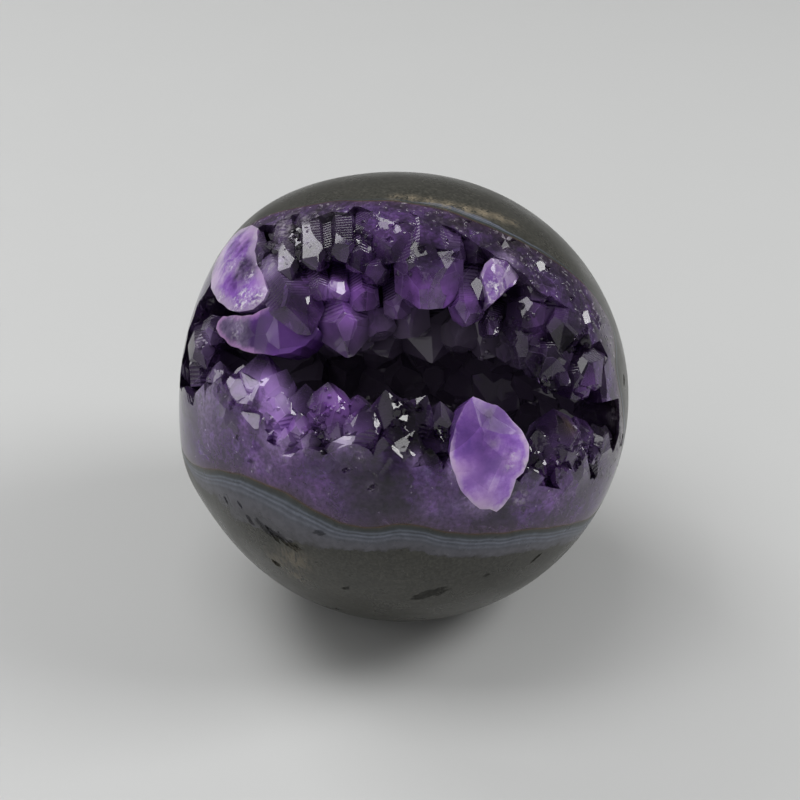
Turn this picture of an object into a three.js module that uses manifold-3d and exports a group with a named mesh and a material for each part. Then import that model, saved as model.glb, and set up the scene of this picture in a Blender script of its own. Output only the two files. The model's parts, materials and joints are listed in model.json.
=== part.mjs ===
// Amethyst geode sphere, millimetres, +Z up.
// A polished basalt ball rests on a small ground flat. Its front is cut open, so that
// the amethyst crust grown on the wall of the hollow shows.
import * as THREE from "three";
import { mergeVertices } from "three/addons/utils/BufferGeometryUtils.js";
import Module from "manifold-3d";

const wasm = await Module();
wasm.setup();

// Ball
const ballRadius = 36;
const baseRadius = 10.8;
const ballColumns = 48;
const ballRows = 30;
// Where the ball was left proud of a true sphere: direction, share of the radius, spread
const shoulders = [
  { toward: [-0.64, 0.42, 0.64], rise: 0.055, spread: 17 },
  { toward: [-0.95, -0.17, -0.26], rise: 0.025, spread: 8 },
];

// Hollow, in the frame of its mouth: x across, y along the mouth, z out of it
const mouthLean = 45;
const rimStep = 15;
// How far the rim lies from the mouth's axis, in degrees, every 15 degrees round it from -x
const rimAngles = [
  91, 85, 59, 47, 46, 45, 43, 47, 53, 65, 86, 80,
  65, 67, 56, 46, 42, 41, 43, 46, 54, 68, 79, 87,
];
const hollowFloor = -11;
const wallPull = [0.8, 0.92];
const wallColumns = 36;
const wallRows = 12;
const crustColumns = 16;
const crustRows = 8;
const mouthReach = 60;
const seamGap = 0.3;

// Amethyst crust: how thick it is grown solid under the mouth's top and bottom edges
const massiveDepths = [4.5, 9];
const rootDepth = 2;
const fillerRows = [0.1, 0.27, 0.45, 0.65, 0.88];
const fillerSpacing = 10.6;
const fillerRadius = [3.6, 5.4];
const fillerLength = [9, 12];
const fillerLean = 0.35;
const fillerSteepness = 0.9;
const elbowRoom = 6;

// Crystals that stand out, placed by their tip and their root; steep is a pyramid's
// height over the crystal's radius
const standing = [
  { tip: [10, -7, 33], root: [14, -25, 24], radius: 5.8, steep: 0.9 },
  { tip: [-20, 1, 28], root: [-24, -20, 17], radius: 8.5, steep: 0.6 },
  { tip: [-14, -4, 30], root: [-16, -22, 20], radius: 6.5, steep: 0.7 },
  { tip: [-28, -6, 21], root: [-31, -16, 8], radius: 6, steep: 0.8 },
  { tip: [-23, 6, 26], root: [-27, 22, 10], radius: 5.2, steep: 0.8 },
  { tip: [-17, 3, 27], root: [-30, 10, 12], radius: 6, steep: 0.8 },
  { tip: [-9, 9, 26], root: [-12, 24, 18], radius: 6, steep: 0.8 },
  { tip: [-11, 4, 21], root: [-15, 18, 12], radius: 5.5, steep: 0.9 },
  { tip: [-16, 9, 26], root: [-22, 20, 16], radius: 5, steep: 0.8 },
  { tip: [-2, 14, 31], root: [-3, 27, 23], radius: 5.5, steep: 0.8 },
  { tip: [4, 7, 31], root: [5, 25, 25], radius: 7.2, steep: 0.8 },
  { tip: [9, 5, 27], root: [11, 19, 20], radius: 3.8, steep: 1 },
  { tip: [12, 4, 26], root: [16, 17, 20], radius: 3, steep: 1 },
  { tip: [13, 9, 30], root: [18, 21, 24], radius: 4.6, steep: 0.8 },
  { tip: [20, 8, 27], root: [25, 15, 16], radius: 5, steep: 0.8 },
  { tip: [21, 4, 22], root: [28, 10, 10], radius: 5, steep: 0.9 },
  { tip: [18, 0, 18], root: [28, 4, 6], radius: 5, steep: 0.9 },
  { tip: [29, -5, 19], root: [30, 8, 12], radius: 5, steep: 0.8 },
  { tip: [22, -7, 24], root: [25, -20, 12], radius: 5, steep: 0.9 },
  { tip: [26, -11, 20], root: [28, -19, 8], radius: 4.4, steep: 0.9 },
  { tip: [19, -12, 24], root: [22, -24, 14], radius: 5, steep: 0.9 },
  { tip: [2, -11, 31], root: [3, -24, 24], radius: 4, steep: 1 },
  { tip: [3, -6, 29], root: [5, -22, 20], radius: 4.4, steep: 0.9 },
  { tip: [-2, -6, 30], root: [-4, -22, 20], radius: 4.6, steep: 0.9 },
  { tip: [-5, -10, 33], root: [-8, -24, 26], radius: 6.5, steep: 0.6 },
  { tip: [4, 3, 16], root: [6, 20, 6], radius: 5.5, steep: 0.9 },
  { tip: [12, 2, 19], root: [15, 18, 12], radius: 4.5, steep: 0.9 },
  { tip: [-3, 3, 18], root: [-6, 18, 8], radius: 4.5, steep: 0.9 },
];

const basalt = new THREE.MeshStandardMaterial({ color: 0x3b3c38, roughness: 0.3, metalness: 0 });
const amethyst = new THREE.MeshStandardMaterial({ color: 0x5b3a78, roughness: 0.12, metalness: 0 });

const radians = THREE.MathUtils.degToRad;

// A small repeatable source of values from 0 to 1
let seed = 7;
function chance() {
  seed = (seed * 1664525 + 1013904223) % 4294967296;
  return seed / 4294967296;
}

function between([low, high]) {
  return low + (high - low) * chance();
}

// One closed solid from a three.js geometry, with its doubled corners joined
function solidFrom(geometry) {
  geometry.deleteAttribute("normal");
  geometry.deleteAttribute("uv");
  const joined = mergeVertices(geometry, 1e-4);
  const corners = joined.index.array;
  const kept = [];
  for (let i = 0; i < corners.length; i += 3) {
    const [a, b, c] = corners.slice(i, i + 3);
    if (a !== b && b !== c && c !== a) kept.push(a, b, c);
  }
  const vertProperties = new Float32Array(joined.attributes.position.array);
  return new wasm.Manifold(
    new wasm.Mesh({ numProp: 3, vertProperties, triVerts: new Uint32Array(kept) }),
  );
}

// A closed skin made by moving the points of a unit sphere whose pole is +Z
function movedSphere(columns, rows, place) {
  const geometry = new THREE.SphereGeometry(1, columns, rows);
  geometry.rotateX(Math.PI / 2);
  const points = geometry.attributes.position;
  const point = new THREE.Vector3();
  for (let i = 0; i < points.count; i++) {
    point.fromBufferAttribute(points, i).normalize();
    const moved = place(point);
    points.setXYZ(i, moved.x, moved.y, moved.z);
  }
  return solidFrom(geometry);
}

// The ball, near a sphere, with its two proud shoulders
function ballPoint(direction) {
  let radius = ballRadius;
  for (const { toward, rise, spread } of shoulders) {
    const away = direction.angleTo(new THREE.Vector3(...toward));
    radius += ballRadius * rise * Math.exp(-0.5 * (away / radians(spread)) ** 2);
  }
  return direction.clone().multiplyScalar(radius);
}

// A smooth closed reading of rimAngles at any turn about the mouth's axis
function rimAngle(turn) {
  const place = THREE.MathUtils.euclideanModulo((turn * 180) / Math.PI + 180, 360) / rimStep;
  const first = Math.floor(place);
  const u = place - first;
  const at = (i) => rimAngles[THREE.MathUtils.euclideanModulo(first + i, rimAngles.length)];
  const slopeIn = (at(1) - at(-1)) / 2;
  const slopeOut = (at(2) - at(0)) / 2;
  const bend = 3 * (at(1) - at(0)) - 2 * slopeIn - slopeOut;
  const twist = slopeIn + slopeOut - 2 * (at(1) - at(0));
  return radians(at(0) + u * (slopeIn + u * (bend + u * twist)));
}

// A point of the hollow's wall: fall 0 is the rim, 1 the floor's middle, and
// below 0 it is outside the ball. inset moves it into the hollow.
function wallPoint(turn, fall, inset) {
  const tilt = rimAngle(turn);
  const flat = ballRadius * Math.sin(tilt) - inset;
  const rim = new THREE.Vector3(
    flat * Math.cos(turn), flat * Math.sin(turn), ballRadius * Math.cos(tilt));
  const low = new THREE.Vector3(rim.x * wallPull[0], rim.y * wallPull[1], hollowFloor + inset);
  const floor = new THREE.Vector3(0, 0, hollowFloor + inset);
  if (fall < 0) return rim.clone().lerp(low, fall);
  const across = rim.clone().lerp(low, fall);
  return across.lerp(low.clone().lerp(floor, fall), fall);
}

// The hollow as a solid that reaches out past the ball through its mouth, its wall
// moved in by what insetAt gives for each turn
function hollow(insetAt, columns, rows) {
  return movedSphere(columns, rows, (direction) => {
    const turn = Math.atan2(direction.y, direction.x);
    const inset = insetAt(turn);
    const down = Math.acos(THREE.MathUtils.clamp(direction.z, -1, 1)) / Math.PI;
    const reach = 0.3;
    if (down > reach) return wallPoint(turn, (down - reach) / (1 - reach), inset);
    const lip = wallPoint(turn, -0.35, inset);
    const far = new THREE.Vector3(lip.x, lip.y, Math.max(lip.z, 0)).normalize();
    const share = down / reach;
    far.lerp(new THREE.Vector3(0, 0, 1), 1 - share).normalize().multiplyScalar(mouthReach);
    return share > 0.999 ? lip.setLength(Math.max(lip.length(), ballRadius * 1.12)) : far;
  });
}

// One six-sided crystal with a pointed end, from root to tip
function crystal({ tip, root, radius, steep, spin = 0 }) {
  const from = new THREE.Vector3(...root);
  const axis = new THREE.Vector3(...tip).sub(from);
  const length = axis.length();
  const shoulder = length - radius * steep;
  const profile = [[0, 0], [radius, 0], [radius, shoulder], [0, length]];
  const geometry = new THREE.LatheGeometry(profile.map((p) => new THREE.Vector2(...p)), 6, spin);
  const up = new THREE.Vector3(0, 1, 0);
  geometry.applyQuaternion(new THREE.Quaternion().setFromUnitVectors(up, axis.normalize()));
  geometry.translate(from.x, from.y, from.z);
  return solidFrom(geometry);
}

// Crystals of the druse, in rows down the hollow's wall, each leaning its own way
function druse() {
  const grown = [];
  for (const fall of fillerRows) {
    const reach = wallPoint(0, fall, 0).length() + wallPoint(Math.PI / 2, fall, 0).length();
    const count = Math.max(4, Math.round((Math.PI * reach) / fillerSpacing));
    for (let i = 0; i < count; i++) {
      const turn = ((i + 0.7 * chance()) / count) * 2 * Math.PI;
      const depth = THREE.MathUtils.clamp(fall + 0.08 * (chance() - 0.5), 0.02, 0.98);
      const root = wallPoint(turn, depth, rootDepth);
      const axis = wallPoint(turn, depth, rootDepth + 1).sub(root).normalize();
      axis.x += fillerLean * (chance() - 0.5);
      axis.y += fillerLean * (chance() - 0.5);
      axis.z += fillerLean * (chance() - 0.5);
      const length = between(fillerLength);
      const tip = root.clone().addScaledVector(axis.normalize(), length);
      const radius = between(fillerRadius);
      const spin = chance() * Math.PI;
      const room = standing.every((one) => tip.distanceTo(new THREE.Vector3(...one.tip)) > elbowRoom);
      if (!room) continue;
      const ends = { tip: tip.toArray(), root: root.toArray() };
      grown.push(crystal({ ...ends, radius, steep: fillerSteepness, spin }));
    }
  }
  return grown;
}

// The largest of the bodies that a cut leaves, without any bubble inside it
function mainBody(solid) {
  const bodies = solid.decompose();
  return bodies.reduce((best, body) => (body.volume() > best.volume() ? body : best));
}

// A named mesh from a solid, with flat faces
function meshFrom(name, solid, material) {
  const { numProp, vertProperties, triVerts } = solid.getMesh();
  const positions = [];
  for (let i = 0; i < vertProperties.length; i += numProp) {
    positions.push(...vertProperties.slice(i, i + 3));
  }
  const geometry = new THREE.BufferGeometry();
  geometry.setAttribute("position", new THREE.Float32BufferAttribute(positions, 3));
  geometry.setIndex([...triVerts]);
  geometry.computeVertexNormals();
  const mesh = new THREE.Mesh(geometry, material);
  mesh.name = name;
  return mesh;
}

// The polished ball on its ground flat
const centreHeight = Math.sqrt(ballRadius ** 2 - baseRadius ** 2);
const wholeBall = movedSphere(ballColumns, ballRows, ballPoint);
const ground = new THREE.BoxGeometry(4 * ballRadius, 4 * ballRadius, ballRadius);
ground.translate(0, 0, -centreHeight - ballRadius / 2);
const ball = wholeBall.subtract(solidFrom(ground));

// The hollow and what grew in it, turned so that the mouth leans back
const lean = [mouthLean, 0, 0];
const massiveDepth = (turn) => THREE.MathUtils.mapLinear(Math.sin(turn), 1, -1, ...massiveDepths);
const wall = hollow(() => 0, wallColumns, wallRows).rotate(lean);
const crustSkin = hollow(() => seamGap, wallColumns, wallRows).rotate(lean);
const crustInside = hollow(massiveDepth, crustColumns, crustRows).rotate(lean);
const crystals = wasm.Manifold.union([...standing.map(crystal), ...druse()]).rotate(lean);

const stone = mainBody(ball.subtract(wall));
const grown = crustSkin.subtract(crustInside).add(crystals);
const crust = mainBody(grown.intersect(crustSkin).intersect(ball));

// The part's origin is the middle of its box, at the foot
const { min, max } = ball.boundingBox();
const home = [-(min[0] + max[0]) / 2, -(min[1] + max[1]) / 2, -min[2]];

const part = new THREE.Group();
part.add(meshFrom("stone_ball", stone.translate(home), basalt));
part.add(meshFrom("amethyst_crust", crust.translate(home), amethyst));

export default part;
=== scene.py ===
import json
import math
import random
import time

import bmesh
import bpy
from mathutils import Euler, Matrix, Vector, geometry, noise
from mathutils.bvhtree import BVHTree

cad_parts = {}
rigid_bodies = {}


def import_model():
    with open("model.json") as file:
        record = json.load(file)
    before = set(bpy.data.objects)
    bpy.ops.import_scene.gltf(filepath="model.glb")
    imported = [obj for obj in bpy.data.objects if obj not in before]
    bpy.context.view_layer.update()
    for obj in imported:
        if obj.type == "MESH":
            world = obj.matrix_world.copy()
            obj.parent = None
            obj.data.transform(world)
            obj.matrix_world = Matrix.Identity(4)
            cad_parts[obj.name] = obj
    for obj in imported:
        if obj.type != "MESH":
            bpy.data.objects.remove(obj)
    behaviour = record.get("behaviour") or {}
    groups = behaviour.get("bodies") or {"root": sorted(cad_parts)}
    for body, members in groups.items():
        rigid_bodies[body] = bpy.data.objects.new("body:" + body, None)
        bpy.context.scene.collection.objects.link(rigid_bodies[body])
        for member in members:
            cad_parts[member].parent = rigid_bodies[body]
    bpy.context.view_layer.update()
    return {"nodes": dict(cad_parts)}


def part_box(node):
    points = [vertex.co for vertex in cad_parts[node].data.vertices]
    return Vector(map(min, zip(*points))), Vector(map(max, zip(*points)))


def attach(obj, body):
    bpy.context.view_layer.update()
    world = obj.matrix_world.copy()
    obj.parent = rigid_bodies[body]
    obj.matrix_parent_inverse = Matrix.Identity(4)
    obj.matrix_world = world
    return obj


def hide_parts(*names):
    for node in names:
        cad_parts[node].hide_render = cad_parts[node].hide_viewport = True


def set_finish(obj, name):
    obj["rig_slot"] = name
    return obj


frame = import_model()
stoneLow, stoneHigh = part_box("stone_ball")
started = time.time()
mm = 0.001
noise.seed_set(7)  # else the noise differs from run to run


def report(stage):
    print(f"{stage}, {time.time() - started:.1f} s")


report("frame loaded")

ball = {
    "radius": 36 * mm,
    "baseRadius": 10.8 * mm,
    "baseRounding": 0.5 * mm,
    "shoulders": [  # direction, share of the radius, spread in degrees
        (Vector((-0.64, 0.42, 0.64)), 0.055, 17),
        (Vector((-0.95, -0.17, -0.26)), 0.025, 8),
    ],
    "fineness": 7,
}
ballCentre = Vector((
    stoneHigh[0] - ball["radius"],
    (stoneLow[1] + stoneHigh[1]) / 2,
    math.sqrt(ball["radius"] ** 2 - ball["baseRadius"] ** 2),
))

mouth = {
    "lean": 45,  # degrees that the mouth's axis leans from straight up to the front
    "rimStep": 15,
    "rimAngles": [  # how far the rim lies from the mouth's axis, round it from -x
        91, 85, 59, 47, 46, 45, 43, 47, 53, 65, 86, 80,
        65, 67, 56, 46, 42, 41, 43, 46, 54, 68, 79, 87,
    ],
    "roomAngles": [  # where the crystals begin on the ball's skin, at the same places
        80, 50, 41, 35, 27, 26, 28, 30, 36, 45, 67, 72,
        63, 49, 38, 34, 34, 35, 39, 43, 50, 62, 70, 76,
    ],
    "roomFloor": 5 * mm,  # thickness of the massive amethyst at the bottom of the hollow
    "floor": -11 * mm,
    "pull": (0.8, 0.92),
    "reach": 60 * mm,
    "waver": 0.45 * mm,  # how far the wall strays from its even line
    "waverSize": 7 * mm,
    "roomWaver": 1.1 * mm,
    "roomWaverSize": 4.5 * mm,
    "columns": 192,
    "rows": 72,
}
mouthFrame = Matrix.Translation(ballCentre) @ Matrix.Rotation(math.radians(mouth["lean"]), 4, "X")


def ballReach(direction):  # from the ball's centre to its skin
    reach = ball["radius"]
    for toward, rise, spread in ball["shoulders"]:
        away = math.degrees(direction.angle(toward))
        reach += ball["radius"] * rise * math.exp(-0.5 * (away / spread) ** 2)
    return reach


def aroundRim(ring, turn):
    place = (math.degrees(turn) + 180) % 360 / mouth["rimStep"]
    first = math.floor(place)
    u = place - first
    before, here, after, beyond = (ring[(first + i) % len(ring)] for i in (-1, 0, 1, 2))
    slopeIn = (after - before) / 2
    slopeOut = (beyond - here) / 2
    bend = 3 * (after - here) - 2 * slopeIn - slopeOut
    twist = slopeIn + slopeOut - 2 * (after - here)
    return here + u * (slopeIn + u * (bend + u * twist))


def wallPoint(turn, fall, ring="rimAngles", inset=0.0):  # fall: 0 at the rim, 1 at the floor
    tilt = math.radians(aroundRim(mouth[ring], turn))
    lift = inset + (mouth["roomFloor"] if ring == "roomAngles" else 0)
    flat = ball["radius"] * math.sin(tilt) - inset
    rim = Vector((flat * math.cos(turn), flat * math.sin(turn), ball["radius"] * math.cos(tilt)))
    low = Vector((rim.x * mouth["pull"][0], rim.y * mouth["pull"][1], mouth["floor"] + lift))
    floor = Vector((0, 0, mouth["floor"] + lift))
    if fall < 0:
        return rim + (low - rim) * fall
    return rim.lerp(low, fall).lerp(low.lerp(floor, fall), fall)


def meshObject(name, bm):
    mesh = bpy.data.meshes.new(name)
    bm.to_mesh(mesh)
    bm.free()
    piece = bpy.data.objects.new(name, mesh)
    bpy.context.scene.collection.objects.link(piece)
    return piece


def hollowBody(name, ring="rimAngles", inset=0.0):
    bm = bmesh.new()
    bmesh.ops.create_uvsphere(
        bm, u_segments=mouth["columns"], v_segments=mouth["rows"], radius=1)
    lid = 0.3  # share of the rows that lie above the rim, out of the ball
    for vert in bm.verts:
        direction = vert.co.normalized()
        turn = math.atan2(direction.y, direction.x)
        down = direction.angle(Vector((0, 0, 1))) / math.pi
        if down > lid + 1e-6:
            place = wallPoint(turn, (down - lid) / (1 - lid), ring, inset)
        else:
            place = wallPoint(turn, -0.35, ring, inset)
            if down > lid * 0.999:
                place = place.normalized() * max(place.length, ball["radius"] * 1.12)
            else:
                far = Vector((place.x, place.y, max(place.z, 0))).normalized()
                far = far.lerp(Vector((0, 0, 1)), 1 - down / lid)
                place = far.normalized() * mouth["reach"]
        size = mouth["roomWaverSize"] if ring == "roomAngles" else mouth["waverSize"]
        stray = noise.noise_vector(place / size) + 0.4 * noise.noise_vector(place / size * 2.7)
        most = mouth["roomWaver"] if ring == "roomAngles" else mouth["waver"]
        vert.co = mouthFrame @ (place + stray * most)
    bmesh.ops.recalc_face_normals(bm, faces=bm.faces)
    return meshObject(name, bm)


def ballBody(name):
    bm = bmesh.new()
    bmesh.ops.create_icosphere(bm, subdivisions=ball["fineness"], radius=1)
    for vert in bm.verts:
        direction = vert.co.normalized()
        vert.co = ballCentre + direction * ballReach(direction)
    cut = bmesh.ops.bisect_plane(
        bm, geom=bm.verts[:] + bm.edges[:] + bm.faces[:], plane_co=(0, 0, 0),
        plane_no=(0, 0, -1), clear_outer=True)
    rim = [item for item in cut["geom_cut"] if isinstance(item, bmesh.types.BMEdge)]
    bmesh.ops.edgeloop_fill(bm, edges=rim)
    bmesh.ops.recalc_face_normals(bm, faces=bm.faces)
    return meshObject(name, bm)


def copyOf(piece, name):
    twin = bpy.data.objects.new(name, piece.data.copy())
    bpy.context.scene.collection.objects.link(twin)
    return twin


def combine(target, tools, operation):
    group = bpy.data.collections.new("tools")
    for tool in tools:
        group.objects.link(tool)
    cut = target.modifiers.new("cut", "BOOLEAN")
    cut.operation = operation
    cut.solver = "MANIFOLD"
    cut.operand_type = "COLLECTION"
    cut.collection = group
    graph = bpy.context.evaluated_depsgraph_get()
    made = bpy.data.meshes.new_from_object(target.evaluated_get(graph))
    target.modifiers.clear()
    target.data = made
    bpy.data.collections.remove(group)


crystalForm = {
    "steep": 51.8,  # degrees between an end face and the prism's cross section
    "taper": 0.96,
    "broad": (0, 0.1),  # three end faces come to the point and three lie further out
    "narrow": (0.0, 0.3),
}


def crystalBody(name, tip, root, radius, spin, shape, tone):
    axis = tip - root
    length = axis.length
    bm = bmesh.new()
    bmesh.ops.create_cone(
        bm, cap_ends=True, segments=6, radius1=radius, radius2=radius * crystalForm["taper"],
        depth=length * 1.5)
    bmesh.ops.translate(bm, vec=(0, 0, length * 0.75), verts=bm.verts)
    bmesh.ops.rotate(bm, matrix=Matrix.Rotation(math.radians(30), 3, "Z"), verts=bm.verts)
    steep = math.radians(crystalForm["steep"])
    for end in range(6):
        around = math.radians(60 * end)
        normal = Vector((
            math.cos(around) * math.sin(steep), math.sin(around) * math.sin(steep),
            math.cos(steep)))
        cut = bmesh.ops.bisect_plane(
            bm, geom=bm.verts[:] + bm.edges[:] + bm.faces[:], dist=1e-7,
            plane_co=(0, 0, length + shape[end] * radius), plane_no=normal, clear_outer=True)
        rim = [item for item in cut["geom_cut"] if isinstance(item, bmesh.types.BMEdge)]
        if rim:
            bmesh.ops.edgeloop_fill(bm, edges=rim)
    uv = bm.loops.layers.uv.new("crystalUv")
    toneLayer = bm.faces.layers.float.new("tone")
    sideLayer = bm.faces.layers.float.new("side")
    for face in bm.faces:
        face[toneLayer] = 0.1 + 0.9 * tone
        face[sideLayer] = 1.0 if abs(face.normal.z) < 0.2 else 0.0
        across = Vector((-face.normal.y, face.normal.x, 0))
        across = across.normalized() if across.length > 0.01 else Vector((1, 0, 0))
        for loop in face.loops:
            place = loop.vert.co
            loop[uv].uv = (place.dot(across) / mm, (length - place.z) / mm)
    turned = Vector((0, 0, 1)).rotation_difference(axis).to_matrix().to_4x4()
    place = mouthFrame @ Matrix.Translation(root) @ turned @ Matrix.Rotation(spin, 4, "Z")
    bmesh.ops.transform(bm, matrix=place, verts=bm.verts)
    bmesh.ops.recalc_face_normals(bm, faces=bm.faces)
    return meshObject(name, bm)


druse = {
    "seed": 11,
    "rows": [0.04, 0.1, 0.16, 0.22, 0.28, 0.35, 0.42, 0.5, 0.58, 0.67, 0.77, 0.9],
    "spacing": 4.6 * mm,
    "radius": (2.2 * mm, 4.2 * mm),
    "deepGain": 0.7,  # how much wider the crystals grow towards the floor
    "stand": (0.45, 1.0),  # how far a tip stands over the massive layer, in radii
    "lean": 0.7,
    "elbowRoom": 3.5 * mm,
    "tinySeed": 5,
    "tinyLean": 0.9,
    "chips": 90,
    "rootDepth": 3 * mm,
    "bare": (Vector((28.2, -11.4, 17.9)) * mm, 6 * mm),  # no filler grows round this place in the mouth's frame
}

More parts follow.
